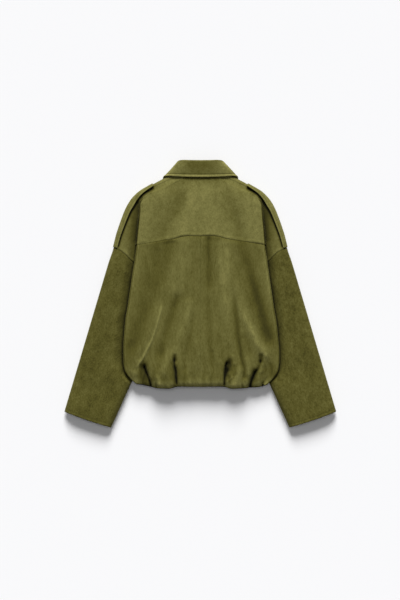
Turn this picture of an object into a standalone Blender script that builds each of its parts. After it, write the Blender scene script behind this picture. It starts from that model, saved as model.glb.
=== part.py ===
"""Faux suede jacket, laid flat on a table with its back up.

Frame: +Y towards the collar, -Y towards the hem, +Z up off the table, X across, in metres.
The jacket lies face down, so -X is the wearer's left.  Sizes below are millimetres.

Every cloth piece is a wall made from its middle surface, which is a grid of sections:
a row of the grid is one section, worked out from the named sizes and short tables below.
Each side of the body has a deep pleat: the back wraps at the body edge, runs inward
under itself, turns at a crease and comes out again as the drop shoulder.  The fronts do
the same underneath, and the sleeve lies between the two.
"""
import math
from collections import namedtuple

import bpy
import bmesh
from mathutils import Vector

MM = 0.001
CLOTH = 2.0            # wall thickness of the cloth
SEAM = 0.45            # gap left between two pieces at a seam
LIFT = CLOTH + 0.85    # a piece lying on another one: distance between middle surfaces

# ---- overall sizes -------------------------------------------------------------------
NECK_HALF = 83.0       # half width of the neck, shoulder point to centre
NECK_BACK_Y = 318.0
HEM_Y = -250.0         # hem at the centre back
YOKE_Y = 153.6         # yoke seam at the centre back
UNDERARM = (50.0, 50.0)
FRONT_NECK_Y = 238.0
PLACKET = 15.0         # the fronts lap this far past the centre
CUFF_OUT = (364.5, -319.0)
SLEEVE_FULL = 2.0                                # how far its outer fold stands out below the armhole
CUFF_IN = (241.5, -361.5)

# ---- heights of the layers, measured at the middle of each wall ----------------------
Z_BACK_EDGE = 27.0     # back, where it wraps at the body edge
Z_UPPER = 16.0         # drop shoulder and sleeve top where the body covers them
Z_UPPER_FREE = 21.5    # the same, clear of the body
Z_LOWER = 9.0          # sleeve underside where the front lies below it
Z_FLOOR = 1.0          # cloth lying on the table
Z_SIDE = 9.8           # outer fold of shoulder and sleeve
Z_SEAM = 13.1          # side seam, half way up

# ---- tables: a row for each section, columns named -----------------------------------
Edge = namedtuple("Edge", "y out")                       # body edge, half width
BODY_EDGE = [Edge(268, 164), Edge(239, 165.5), Edge(198, 168), Edge(158, 170), Edge(131, 172.5),
             Edge(90, 181.5), Edge(50, 187.5), Edge(9, 192.5), Edge(-31, 198), Edge(-72, 204.5),
             Edge(-112, 208.5), Edge(-153, 211), Edge(-185, 209.5), Edge(-207, 204), Edge(-223, 194),
             Edge(-236, 181), Edge(-243, 173), Edge(-256, 148), Edge(-268, 108)]

Shoulder = namedtuple("Shoulder", "out y")               # shoulder line, neck to armhole
SHOULDER = [Shoulder(NECK_HALF, 318.5), Shoulder(132, 291.8), Shoulder(160.8, 275), Shoulder(177.4, 260.2),
            Shoulder(188.4, 246.2), Shoulder(198.5, 228.2), Shoulder(208.4, 203.6), Shoulder(217.6, 177.8),
            Shoulder(225.6, 152.8), Shoulder(233.5, 123)]

# Yoke sections.  centre: y at the centre; wrap: where the section turns under at the body
# edge; crease: where it turns out again; crown and edge: heights; upper: drop-shoulder height.
Yoke = namedtuple("Yoke", "centre wrap_x wrap_y crease_x crease_y crown edge upper")
YOKE = [Yoke(NECK_BACK_Y, 30, 318.1, 54, 318.3, 28.5, 27.5, 21.5),
        Yoke(303.0, 68, 300, 108, 295, 31, 28, 20),
        Yoke(286.0, 104, 281, 141, 277, 33, 28, 18.5),
        Yoke(268.0, 140, 266, 158, 264, 35, 27.5, 17.0),
        Yoke(250.0, 160.5, 246, 152, 236, 36, 27, 16),
        Yoke(232.0, 162, 222, 134, 200, 37, 27, 16),
        Yoke(213.0, 163.5, 198, 115, 160, 38, 27, 16),
        Yoke(193.0, 165.5, 174, 94, 122, 39, 27, 16),
        Yoke(173.0, 167, 152, 73, 86, 40, 27, 16),
        Yoke(YOKE_Y, 168.5, 131, 53, 50, 41, 27, 16)]

Bow = namedtuple("Bow", "t drop")                        # shape of the yoke seam
YOKE_BOW = [Bow(0, 0), Bow(0.17, -0.04), Bow(0.30, 0.07), Bow(0.41, 0.30), Bow(0.63, 0.55),
            Bow(0.81, 0.78), Bow(1.0, 1.0)]

Hole = namedtuple("Hole", "t y")                         # armhole seam, underarm to shoulder
ARMHOLE = [Hole(0, 50), Hole(0.36, 60), Hole(0.62, 76), Hole(0.74, 89), Hole(0.83, 106),
           Hole(0.93, 118), Hole(1.0, 123)]

# Lower back sections.  side: where the side seam is; crown, edge: heights; inner: height of
# the layer that runs back inward to the side seam.
Back = namedtuple("Back", "centre wrap_y side_x side_y crown edge inner")
BACK = [Back(YOKE_Y, 131, 46.5, 47.5, 41, 27, 21.5),
        Back(128, 108, 56, 30, 41.5, 27, 21.5),
        Back(96, 78, 67, 4, 42, 27, 21.5),
        Back(62, 46, 79, -24, 42.5, 27, 21.5),
        Back(28, 14, 90, -50, 43, 27, 21.5),
        Back(-6, -18, 101, -77, 43.5, 27, 21.5),
        Back(-40, -50, 112, -104, 44, 27, 21.5),
        Back(-76, -84, 123, -130, 44.5, 27, 21.5),
        Back(-112, -118, 133, -156, 45, 27, 21.5),
        Back(-146, -150, 142, -180, 45, 27, 21.5),
        Back(-178, -180, 150, -203, 45, 27, 21.5),
        Back(-205, -204, 155, -222, 45, 27, 21.5),
        Back(-226, -221, 157, -234, 43.5, 27, 21.3),
        Back(-241, -235, 158, -241, 39, 26.5, 21),
        Back(HEM_Y, -243, 158, -245, 31, 25.5, 20.5),
        Back(HEM_Y + 2.0, -244.5, 157, -244.5, 24, 24.5, 20.0),
        Back(HEM_Y + 8.0, -241, 156, -242, 19.5, 23.5, 19.3)]

Hem = namedtuple("Hem", "out dip")                       # lower edge, how far it hangs below
HEM_DIP = [Hem(0, 0), Hem(50, 0.5), Hem(62, 0), Hem(88, -6), Hem(112, -6), Hem(135, -3),
           Hem(160, 0), Hem(215, 0)]

# Largest folds of the lower back, by side (-1 wearer's left): a ridge or trough along a
# line from top to bottom, with its half width and height.
Fold = namedtuple("Fold", "side x0 y0 x1 y1 x2 y2 half height")
FOLDS = [Fold(-1, -64, 140, -92, 10, -112, -45, 24, 2.2),
         Fold(-1, -112, -45, -128, -100, -152, -190, 16, 4.0),
         Fold(-1, -110, 142, -136, 0, -176, -130, 30, -4.5),
         Fold(-1, -50, 100, -52, -20, -62, -150, 26, 2.2),
         Fold(1, 70, 110, 92, 20, 172, -160, 22, 4.2),
         Fold(1, 118, 128, 150, -10, 184, -140, 26, -4.5),
         Fold(1, 88, 0, 104, -90, 116, -200, 15, -3.0),
         Fold(1, 18, 150, 22, 40, 26, -200, 20, -2.6),
         Fold(1, 52, 100, 56, -20, 62, -150, 26, 1.6)]

# Gathers taken up at the hem: soft hollows that end in a crease at the lower edge.
Tuck = namedtuple("Tuck", "side x0 y0 x1 y1 half depth")
TUCKS = [Tuck(-1, -153, -196, -133, -252, 15, 8), Tuck(-1, -68, -170, -63, -252, 13, 9),
         Tuck(1, 74, -184, 64, -252, 14, 9), Tuck(1, 163, -168, 136, -252, 16, 9)]

# Front sections, the same columns as the yoke but lying face down underneath.
Front = namedtuple("Front", "centre wrap_x wrap_y crease_x crease_y main lower")
FRONT_TOP = [Front(FRONT_NECK_Y, 56, 266, 66, 282, 5.2, 6.2),
             Front(224, 88, 262, 108, 274, 4.6, 6.2),
             Front(208, 116, 256, 138, 265, 3.6, 6.4),
             Front(192, 140, 252, 151, 254, 2.4, 7.6),
             Front(174, 153, 236, 146, 226, 1.0, 9),
             Front(158, 155, 212, 130, 190, 1.0, 9),
             Front(142, 156.5, 188, 112, 152, 1.0, 9),
             Front(126, 158, 165, 92, 116, 1.0, 9),
             Front(108, 160, 143, 72, 82, 1.0, 9),
             Front(92, 162, 122, 53, 49, 1.0, 9)]
FrontLow = namedtuple("FrontLow", "centre wrap_y side_x side_y main inner")
FRONT_LOW = [FrontLow(92, 122, 47, 48, 1.0, 5),
             FrontLow(50, 74, 64, 10, 1.0, 5),
             FrontLow(5, 24, 83, -34, 1.0, 5),
             FrontLow(-42, -28, 102, -80, 1.0, 5),
             FrontLow(-90, -80, 120, -125, 1.0, 5),
             FrontLow(-136, -130, 136, -166, 1.0, 5),
             FrontLow(-178, -176, 149, -202, 1.0, 5),
             FrontLow(-212, -208, 155, -222, 1.0, 5),
             FrontLow(-234, -228, 157, -236, 1.2, 5.2),
             FrontLow(-247, -240, 158, -244, 3.0, 7.0)]

# Collar, half way round from the centre back: roll = the fold along its top, edge = the
# free edge of the fall, seam = how far round the neck seam, face = which way it faces
# (90 up at the back, -90 down at the front).
Collar = namedtuple("Collar", "roll_x roll_y roll_z edge_x edge_y edge_z seam face")
COLLAR = [Collar(0, 358.3, 31.5, 0, 316.0, 34.5, 0.000, 90),
          Collar(26, 358.6, 31.5, 32, 316.0, 34.5, 0.125, 90),
          Collar(47, 359.0, 30.5, 65, 316.0, 33.5, 0.250, 86),
          Collar(57.5, 357.6, 27.0, 87, 316.0, 29.5, 0.360, 62),
          Collar(61.5, 353.5, 20.0, 98.5, 316.0, 20.0, 0.440, 25),
          Collar(61.5, 349.0, 12.5, 101.5, 311.5, 9.5, 0.505, -20),
          Collar(57, 340.0, 7.5, 100.5, 299.0, 2.6, 0.580, -60),
          Collar(48, 322.0, 4.6, 95, 273.0, 1.3, 0.680, -86),
          Collar(30, 285.0, 3.8, 83, 240.0, 1.0, 0.840, -90),
          Collar(13, 251.0, 3.8, 64, 205.0, 1.0, 0.985, -90)]
ROLL_R = 2.4

# The rows of the yoke and of the top of the fronts, as row numbers of their tables.
TOP_ROWS = [0, 0.9, 1.85, 2.6, 3.3, 4, 5.2, 6.4, 7.7, 9]
# Shoulder tab: which of those rows it runs along, and how far it reaches on each side of
# the shoulder fold.
TAB_ROWS = [1, 2, 3, 4, 5, 6, 7, 8, 8.93]
TAB_BACK, TAB_FRONT = 12.0, 23.0
# The tab is one strap, less bent than the shoulder line: what lies on the back, by row.
TabIn = namedtuple("TabIn", "k reach")
TAB_IN = [TabIn(0, 7.5), TabIn(0.9, 8), TabIn(2.4, 9.8), TabIn(4.4, 11.8), TabIn(6.5, 10.5), TabIn(8.2, 9.2),
          TabIn(9, 9.2)]
TAB_WIDTH = 34.0

BUTTON_D, BUTTON_T = 20.0, 2.6
TAB_BUTTON_D, TAB_BUTTON_T = 15.0, 2.2
FRONT_BUTTON_Y = [205.0, 105.0, 5.0, -95.0, -195.0]

# ---- how finely each stretch of a section is divided ----------------------------------
N_MAIN, N_ARC, N_INNER, N_SHOULDER = 10, 3, 2, 7
N_YOKE_MAIN, N_FRONT_MAIN = 7, 5


# ---- small helpers ---------------------------------------------------------------------
def smooth(t):
    t = min(1.0, max(0.0, t))
    return t * t * (3 - 2 * t)


def lerp(a, b, t):
    return a + (b - a) * t


def row_at(table, k):
    """The table's row at a fractional row number k, on a smooth curve through its rows."""
    n = len(table) - 1
    i = min(n - 1, max(0, int(math.floor(k))))
    t = k - i
    p1, p2 = table[i], table[i + 1]
    p0 = table[i - 1] if i > 0 else [2 * a - b for a, b in zip(p1, p2)]
    p3 = table[i + 2] if i + 2 <= n else [2 * b - a for a, b in zip(p1, p2)]
    out = []
    for a, b, c, d in zip(p0, p1, p2, p3):
        out.append(0.5 * (2 * b + (c - a) * t + (2 * a - 5 * b + 4 * c - d) * t * t
                          + (3 * b - a - 3 * c + d) * t ** 3))
    return type(p1)(*out)


def look_up(table, key, value=1):
    """Second column of a table at a value of its first column, straight between rows."""
    down = table[0][0] > table[-1][0]
    for a, b in zip(table, table[1:]):
        lo, hi = (b, a) if down else (a, b)
        if lo[0] <= key <= hi[0]:
            return lerp(lo[value], hi[value], (key - lo[0]) / (hi[0] - lo[0]))
    first, last = (table[-1], table[0]) if down else (table[0], table[-1])
    return first[value] if key < first[0] else last[value]


def edge_x(y):
    return look_up(BODY_EDGE, y)


def shoulder_at(s):
    """Shoulder line at a share s of its rows, as (out, y)."""
    r = row_at(SHOULDER, s * (len(SHOULDER) - 1))
    return r.out, r.y


def covered(x, y, shift=0.0):
    """1 where the body lies over a point, 0 well clear of it."""
    return 1.0 - smooth((abs(x) - edge_x(y) - shift) / 30.0)


def upper_z(x, y, from_fold, roll=30.0):
    """Top layer of shoulder and sleeve; from_fold is the distance in from its outer fold."""
    base = lerp(Z_UPPER_FREE, Z_UPPER, covered(x, y, 2.0))
    t = min(1.0, from_fold / roll)
    return Z_SIDE + (base - Z_SIDE) * math.sqrt(max(0.0, 1 - (1 - t) ** 2))


def lower_z(x, y, from_fold, roll=45.0):
    """Under layer of shoulder and sleeve: on the table, or on the front where that is below."""
    base = lerp(Z_FLOOR, Z_LOWER, covered(x, y, 8.0))
    t = min(1.0, from_fold / roll)
    return base + (Z_SIDE - base) * (1 - t) ** 1.6


def shoulder_dir(k):
    a, b = shoulder_at(max(0.0, k - 0.2) / 9), shoulder_at(min(9.0, k + 0.2) / 9)
    n = math.hypot(b[0] - a[0], b[1] - a[1])
    return (b[0] - a[0]) / n, (b[1] - a[1]) / n


def out_shares(k, length, direction, reach):
    """Where a section's columns lie on its way out to the shoulder, 0 to 1: wide ones first,
    then one at the edge of the shoulder tab and closer ones round the fold."""
    dx, dy = shoulder_dir(k)
    slant = max(0.35, abs(direction[0] * dy - direction[1] * dx))
    tab = min(0.92, reach / slant / length)
    rest = 1 - tab
    return [rest * 0.40, rest * 0.70, rest * 0.86, rest, 1 - 0.5 * tab, 1 - 0.15 * tab, 1.0]


def armhole_shares(reach):
    s = SHOULDER[-1]
    length = math.hypot(s.out - YOKE[-1].crease_x, s.y - YOKE[-1].crease_y)
    d = ((s.out - YOKE[-1].crease_x) / length, (s.y - YOKE[-1].crease_y) / length)
    return [0.0] + out_shares(9, length, d, reach)


def fold_path(start, end, z0, z1, outward, n_arc, n_mid):
    """An S in the cloth from (start, z0) to (end, z1), both plan points.

    With end inside start the cloth doubles back as a pleat; with end outside it is only a
    step, and the same formula carries one into the other, so the pleat dies out smoothly.
    """
    h = z0 - z1
    r = abs(h) / 4
    sgn = 1.0 if h > 0 else -1.0
    sx, sy = start
    ex, ey = end
    inside = (sx - ex) * outward[0] + (sy - ey) * outward[1] > 0
    dist = math.hypot(ex - sx, ey - sy)
    pts = []
    if inside:
        ux, uy = outward
        for j in range(n_arc + 1):
            a = math.pi * j / n_arc
            pts.append((sx + ux * r * math.sin(a), sy + uy * r * math.sin(a), z0 - sgn * r * (1 - math.cos(a))))
        zm0, zm1 = z0 - sgn * 2 * r, z1 + sgn * 2 * r
        for j in range(1, n_mid):
            t = j / n_mid
            pts.append((lerp(sx, ex, t), lerp(sy, ey, t), lerp(zm0, zm1, t)))
        vx, vy = (sx - ex) / dist, (sy - ey) / dist
        for j in range(n_arc + 1):
            a = math.pi * j / n_arc
            pts.append((ex - vx * r * math.sin(a), ey - vy * r * math.sin(a), zm1 - sgn * r * (1 - math.cos(a))))
        return pts
    theta = 2 * math.atan2(abs(h), 2 * dist)
    ux, uy = (ex - sx) / dist, (ey - sy) / dist
    a1 = (r * math.sin(theta), r * (1 - math.cos(theta)))
    for j in range(n_arc + 1):
        a = theta * j / n_arc
        adv, drop = r * math.sin(a), r * (1 - math.cos(a))
        pts.append((sx + ux * adv, sy + uy * adv, z0 - sgn * drop))
    for j in range(1, n_mid):
        t = dist * j / n_mid
        adv, drop = a1[0] + t * math.cos(theta), a1[1] + t * math.sin(theta)
        pts.append((sx + ux * adv, sy + uy * adv, z0 - sgn * drop))
    for j in range(n_arc + 1):
        a = theta * (1 - j / n_arc)
        adv = dist - r * math.sin(a)
        drop = abs(h) - r * (1 - math.cos(a))
        pts.append((sx + ux * adv, sy + uy * adv, z0 - sgn * drop))
    return pts


def fold_relief(x, y):
    """Height added to the lower back by its folds and by the gathers at its hem."""
    dz = 0.0
    for f in FOLDS:
        for xa, ya, xb, yb in ((f.x0, f.y0, f.x1, f.y1), (f.x1, f.y1, f.x2, f.y2)):
            if yb <= y < ya:
                t = (ya - y) / (ya - yb)
                d = (x - lerp(xa, xb, t)) / f.half
                run = (f.y0 - y) / (f.y0 - f.y2)
                dz += f.height * math.exp(-d * d) * math.sin(math.pi * min(1.0, max(0.0, run))) ** 0.6
    for k in TUCKS:
        if y < k.y0:
            t = min(1.0, (k.y0 - y) / (k.y0 - k.y1))
            d = (x - lerp(k.x0, k.x1, t)) / (k.half * lerp(1.0, 0.55, t))
            dz -= k.depth * smooth(t * 1.6) * math.exp(-d * d)
    return dz


# ---- sections --------------------------------------------------------------------------
def yoke_row(k, n_main=N_YOKE_MAIN, n_arc=N_ARC, n_inner=N_INNER):
    """One half of a yoke section, from the centre to the shoulder line."""
    q = row_at(YOKE, k)
    share = k / (len(YOKE) - 1)
    bow = smooth(share)
    pts = []
    for j in range(n_main):
        t = j / n_main
        straight = t * t
        drop = lerp(straight, look_up(YOKE_BOW, t), bow)
        x = q.wrap_x * t
        y = lerp(q.centre, q.wrap_y, drop)
        z = q.edge + (q.crown - q.edge) * (1 - t ** 2.2)
        pts.append((x, y, z))
    pts += fold_path((q.wrap_x, q.wrap_y), (q.crease_x, q.crease_y), q.edge, q.upper, (1, 0), n_arc, n_inner)
    wx, wy = shoulder_at(share)
    bx, by = q.crease_x, q.crease_y
    length = math.hypot(wx - bx, wy - by)
    curved = smooth((share - 0.45) / 0.55)
    for t in out_shares(k, length, ((wx - bx) / length, (wy - by) / length), TAB_BACK):
        x, y = lerp(bx, wx, t), lerp(by, wy, t)
        last = lerp(ARMHOLE[0].y, ARMHOLE[-1].y, t)
        y += curved * (look_up(ARMHOLE, t) - last)
        free = upper_z(x, y, (1 - t) * length, min(30.0, 0.9 * length))
        if k < 4:
            top = q.upper
            u = min(1.0, (1 - t) * length / min(30.0, 0.9 * length))
            free = Z_SIDE + (top - Z_SIDE) * math.sqrt(max(0.0, 1 - (1 - u) ** 2))
        pts.append((x, y, max(free, Z_SIDE + 2.1)))
    return pts


def back_row(k, side, n_main=N_MAIN, n_arc=N_ARC, n_inner=N_INNER):
    """Half of a lower back section: centre seam, body edge, and back in to the side seam."""
    q = row_at(BACK, k)
    share = k / (len(BACK) - 1)
    bow = 1 - smooth(share * 2.2)
    r = (q.edge - q.inner) / 2
    wrap_x = edge_x(q.wrap_y) - r - CLOTH / 2
    pts = []
    for j in range(n_main):
        t = j / n_main
        straight = t ** 3
        drop = lerp(straight, look_up(YOKE_BOW, t), bow)
        x = SEAM / 2 + (wrap_x - SEAM / 2) * t
        y = lerp(q.centre, q.wrap_y, drop)
        low = smooth((k - 9.0) / 5.0)
        y += low * look_up(HEM_DIP, x)
        z = q.edge + (q.crown - q.edge) * (1 - t ** 3.0)
        fade = smooth((1 - t) / 0.22) * smooth(k / 1.2) * (1 - smooth((k - 14.0) / 2.0))
        z += fade * fold_relief(side * x, y)
        pts.append((x, y, z))
    for j in range(n_arc + 1):
        a = math.pi * j / n_arc
        pts.append((wrap_x + r * math.sin(a), q.wrap_y, q.edge - r * (1 - math.cos(a))))
    rs = q.inner - (Z_SEAM + 0.35)
    sx = q.side_x + rs
    for j in range(1, n_inner):
        t = j / n_inner
        pts.append((lerp(wrap_x, sx, t), lerp(q.wrap_y, q.side_y, t), q.inner))
    for j in range(n_arc + 1):
        a = 0.5 * math.pi * j / n_arc
        pts.append((sx - rs * math.sin(a), q.side_y, q.inner - rs * (1 - math.cos(a))))
    return pts


def front_lift(x, y):
    """The front rises a little over the collar points."""
    return 3.4 * smooth((y - 172) / 30) * smooth((150 - abs(x)) / 30)


def placket_lift(x, outer):
    if outer:
        return 3.3 * (1 - smooth((x - 20) / 26))
    return 6.3 * (1 - smooth((x - 20) / 40))


def front_main(q_centre, wrap_x, wrap_y, main, outer, n_main, shape):
    """Main part of a front section, from its placket edge to where it wraps."""
    pts = []
    x0 = -PLACKET
    for j in range(n_main):
        t = j / n_main
        x = lerp(x0, wrap_x, t)
        y = lerp(q_centre, wrap_y, shape(t))
        z = max(main, Z_FLOOR + front_lift(x, y)) + placket_lift(x, outer)
        pts.append((x, y, z))
    return pts


def front_top_row(k, outer, n_main=N_FRONT_MAIN, n_arc=N_ARC, n_inner=N_INNER):
    q = row_at(FRONT_TOP, k)
    share = k / (len(FRONT_TOP) - 1)
    neck = 1 - smooth(share * 3)
    pts = front_main(q.centre, q.wrap_x, q.wrap_y, q.main, outer, n_main,
                     lambda t: lerp(t * t, t ** 2.6, neck))
    z0 = max(q.main, Z_FLOOR + front_lift(q.wrap_x, q.wrap_y))
    z1 = max(q.lower, z0 + 0.8)
    pts += fold_path((q.wrap_x, q.wrap_y), (q.crease_x, q.crease_y), z0, z1, (1, 0), n_arc, n_inner)
    wx, wy = shoulder_at(share)
    bx, by = q.crease_x, q.crease_y
    length = math.hypot(wx - bx, wy - by)
    curved = smooth((share - 0.45) / 0.55)
    for t in out_shares(k, length, ((wx - bx) / length, (wy - by) / length), TAB_FRONT):
        x, y = lerp(bx, wx, t), lerp(by, wy, t)
        last = lerp(ARMHOLE[0].y, ARMHOLE[-1].y, t)
        y += curved * (look_up(ARMHOLE, t) - last)
        if k < 4:
            z = lerp(z1, Z_SIDE, smooth(t))
        else:
            z = max(lower_z(x, y, (1 - t) * length), lerp(z1, Z_FLOOR, smooth(t * 3)))
        if k < 1:
            x += 4.0 * (1 - k) * math.sin(math.pi * t)
        pts.append((x, y, z))
    return pts


def front_low_row(k, outer, n_main=N_FRONT_MAIN, n_arc=N_ARC, n_inner=N_INNER):
    q = row_at(FRONT_LOW, k)
    r = (q.inner - q.main) / 2
    wrap_x = edge_x(q.wrap_y) - 9.0 - r - CLOTH / 2
    if k < 1:
        wrap_x = lerp(162.0, wrap_x, k)
    share = k / (len(FRONT_LOW) - 1)
    pts = front_main(q.centre, wrap_x, q.wrap_y, q.main, outer, n_main, lambda t: lerp(t * t, t, share))
    for j in range(n_arc + 1):
        a = math.pi * j / n_arc
        pts.append((wrap_x + r * math.sin(a), q.wrap_y, q.main + r * (1 - math.cos(a))))
    rs = (Z_SEAM - 0.35) - q.inner
    sx = q.side_x + rs
    for j in range(1, n_inner):
        t = j / n_inner
        pts.append((lerp(wrap_x, sx, t), lerp(q.wrap_y, q.side_y, t), q.inner))
    for j in range(n_arc + 1):
        a = 0.5 * math.pi * j / n_arc
        pts.append((sx - rs * math.sin(a), q.side_y, q.inner + rs * (1 - math.cos(a))))
    return pts


def sleeve_ring(v, n_flat=N_SHOULDER):
    """A ring of the sleeve: v = 0 at the armhole, 1 at the cuff.  Starts at the outer fold,
    runs in over the top to the underarm seam and back out along the underside."""
    s_out = SHOULDER[-1]
    ox, oy = lerp(s_out.out, CUFF_OUT[0], v), lerp(s_out.y - 1.6 * SEAM, CUFF_OUT[1], v)
    ox += SLEEVE_FULL * smooth(v / 0.1)
    inner_start = (55.5, 50 - 2 * SEAM)
    ix, iy = lerp(inner_start[0], CUFF_IN[0], v), lerp(inner_start[1], CUFF_IN[1], v)
    width = math.hypot(ix - ox, iy - oy)
    curved = (1 - smooth(v / 0.22))
    slack = smooth((v - 0.80) / 0.2)
    settle = smooth(v / 0.33)
    hole_back, hole_front = armhole_shares(TAB_BACK), armhole_shares(TAB_FRONT)

    def spot(j, hole):
        u = j / n_flat
        t = lerp(0.5 - 0.5 * math.cos(math.pi * u), u, 0.35)
        t = lerp(1 - hole[n_flat - j], t, settle)
        x, y = lerp(ox, ix, t), lerp(oy, iy, t)
        last = lerp(ARMHOLE[-1].y, ARMHOLE[0].y, t)
        y += curved * (look_up(ARMHOLE, 1 - t) - last)
        y -= slack * 2.0 * math.sin(math.pi * t)
        return x, y, t * width, (1 - t) * width

    top, low = [], []
    for j in range(n_flat + 1):
        x, y, d_out, d_in = spot(j, hole_back)
        zt = upper_z(x, y, d_out)
        xl, yl, l_out, l_in = spot(j, hole_front)
        zb = lower_z(xl, yl, l_out)
        mid = 0.5 * (lerp(Z_UPPER_FREE, Z_UPPER, covered(ix, iy, 2.0)) + lerp(Z_FLOOR, Z_LOWER, covered(ix, iy, 8.0)))
        roll = lerp(20.0, 9.0, covered(ix, iy, 0.0))
        e, el = min(1.0, d_in / roll), min(1.0, l_in / roll)
        top.append((x, y, lerp(mid, zt, math.sqrt(max(0.0, 1 - (1 - e) ** 2)))))
        low.append((xl, yl, lerp(mid, zb, math.sqrt(max(0.0, 1 - (1 - el) ** 2)))))
    return top + low[-2:0:-1]


def neck_seam(u):
    """A point round the neck seam: 0 centre back, 0.5 shoulder point, 1 centre front."""
    back = yoke_row(0)
    front = front_top_row(0, True)
    if u <= 0.5:
        line, t = back, u / 0.5
    else:
        line, t = front[::-1], (u - 0.5) / 0.5
        line = [p for p in line if p[0] > -1]
    run = [0.0]
    for a, b in zip(line, line[1:]):
        run.append(run[-1] + math.dist(a, b))
    want = t * run[-1]
    for i in range(len(run) - 1):
        if run[i + 1] >= want:
            f = (want - run[i]) / max(1e-9, run[i + 1] - run[i])
            return tuple(lerp(line[i][c], line[i + 1][c], f) for c in range(3))
    return line[-1]


def collar_frame(k):
    """Roll centre, the way the collar stands up, and the way it faces, at table row k."""
    q = row_at(COLLAR, k)
    a = math.radians(q.face)
    roll = Vector((q.roll_x, q.roll_y, q.roll_z))
    edge = Vector((q.edge_x, q.edge_y, q.edge_z))
    fall = edge - roll
    fall.normalize()
    flat = Vector((-fall.y, fall.x, 0)) * (-1)
    flat.normalize()
    if flat.x < 0:
        flat = -flat
    face = flat * math.cos(a) + Vector((0, 0, 1)) * math.sin(a)
    up = -(fall - face * fall.dot(face))
    up.normalize()
    return q, roll, edge, up, face


def fall_row(k, n_arc=3, n_fall=3):
    """A collar section: a short turn inside the roll, over it, and down the fall."""
    q, roll, edge, up, face = collar_frame(k)
    pts = [roll - face * ROLL_R - up * 3.0]
    for j in range(n_arc + 1):
        a = math.pi * j / n_arc
        pts.append(roll - face * ROLL_R * math.cos(a) + up * ROLL_R * math.sin(a))
    start = roll + face * ROLL_R
    for j in range(1, n_fall + 1):
        t = j / n_fall
        p = start.lerp(edge, t)
        pts.append(p + face * 1.2 * max(0.0, face.z) * math.sin(math.pi * t))
    return [tuple(p) for p in pts]


def stand_row(k, n=2):
    """The stand at the same place: neck seam up to the turn inside the roll."""
    q, roll, edge, up, face = collar_frame(k)
    top = roll - face * ROLL_R - up * (3.0 + 1.6)
    base = Vector(neck_seam(q.seam))
    step = top - base
    step.normalize()
    base = base + step * (SEAM + 0.55)
    pts = []
    for j in range(n + 1):
        t = j / n
        pts.append(tuple(base.lerp(top, t)))
    return pts


def between(rows, f):
    """A row part of the way between two rows, straight."""
    i = min(len(rows) - 2, int(f))
    t = f - i
    return [Vector(a).lerp(Vector(b), t) for a, b in zip(rows[i], rows[i + 1])]


def height_at(rows, x, y, up):
    """Height of the highest (up = 1) or lowest (up = -1) spot of a panel at a place on the plan."""
    best = None
    for r, q in zip(rows, rows[1:]):
        for c in range(len(r) - 1):
            for a, b, d in ((r[c], r[c + 1], q[c + 1]), (r[c], q[c + 1], q[c])):
                det = (b[0] - a[0]) * (d[1] - a[1]) - (d[0] - a[0]) * (b[1] - a[1])
                if abs(det) < 1e-9:
                    continue
                u = ((x - a[0]) * (d[1] - a[1]) - (d[0] - a[0]) * (y - a[1])) / det
                v = ((b[0] - a[0]) * (y - a[1]) - (x - a[0]) * (b[1] - a[1])) / det
                if u < -1e-3 or v < -1e-3 or u + v > 1 + 1e-3:
                    continue
                z = a[2] + (b[2] - a[2]) * u + (d[2] - a[2]) * v
                if best is None or up * z > up * best:
                    best = z
    return best


def in_from_fold(rows, w, out, dist, off, up):
    """Points of a panel square in from the shoulder fold, moved off its surface."""
    pts = []
    for d in dist:
        near, far = max(0.2, d - 1.5), d + 1.5
        zs = [height_at(rows, w.x - out.x * q, w.y - out.y * q, up) for q in (near, d, far)]
        slope = (zs[2] - zs[0]) / (far - near)
        n = Vector((out.x * slope, out.y * slope, 1.0)).normalized() * up
        pts.append(Vector((w.x - out.x * d, w.y - out.y * d, zs[1])) + n * off)
    return pts


def tab_row(yoke_rows, front_rows, f, off=LIFT):
    """A section of the shoulder tab, on the yoke, round the shoulder fold, on the front."""
    w = between(yoke_rows, f)[-1]
    k = TOP_ROWS[int(f)] + (f - int(f)) * (TOP_ROWS[min(9, int(f) + 1)] - TOP_ROWS[int(f)])
    dx, dy = shoulder_dir(k)
    out = Vector((-dy, dx, 0))
    if out.x < 0:
        out = -out
    reach = look_up(TAB_IN, k)
    back = in_from_fold(yoke_rows, w, out, [reach, 0.55 * reach, 0.2 * reach], off, 1)
    reach = TAB_WIDTH - reach
    front = in_from_fold(front_rows, w, out, [0.18 * reach, 0.5 * reach, reach], off, -1)
    top = Vector((w.x, w.y, w.z + 0.2)) + out * off
    turn = Vector((w.x, w.y, Z_SIDE - 1.9)) + out * off
    pts = back + [top, turn] + front
    return [(p.x, p.y, max(p.z, Z_FLOOR)) for p in pts]


def material(name, color, rough):
    m = bpy.data.materials.new(name)
    m.use_nodes = True
    b = m.node_tree.nodes["Principled BSDF"]
    b.inputs["Base Color"].default_value = (*color, 1)
    b.inputs["Roughness"].default_value = rough
    b.inputs["Metallic"].default_value = 0.0
    return m


def add_object(name, verts, faces, color, rough):
    mesh = bpy.data.meshes.new(name)
    mesh.from_pydata([Vector(v) * MM for v in verts], [], faces)
    mesh.update()
    bm = bmesh.new()
    bm.from_mesh(mesh)
    bmesh.ops.recalc_face_normals(bm, faces=bm.faces)
    bm.to_mesh(mesh)
    bm.free()
    mesh.shade_smooth()
    ob = bpy.data.objects.new(name, mesh)
    bpy.context.scene.collection.objects.link(ob)
    mesh.materials.append(material(name + "_cloth", color, rough))
    return ob


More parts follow.
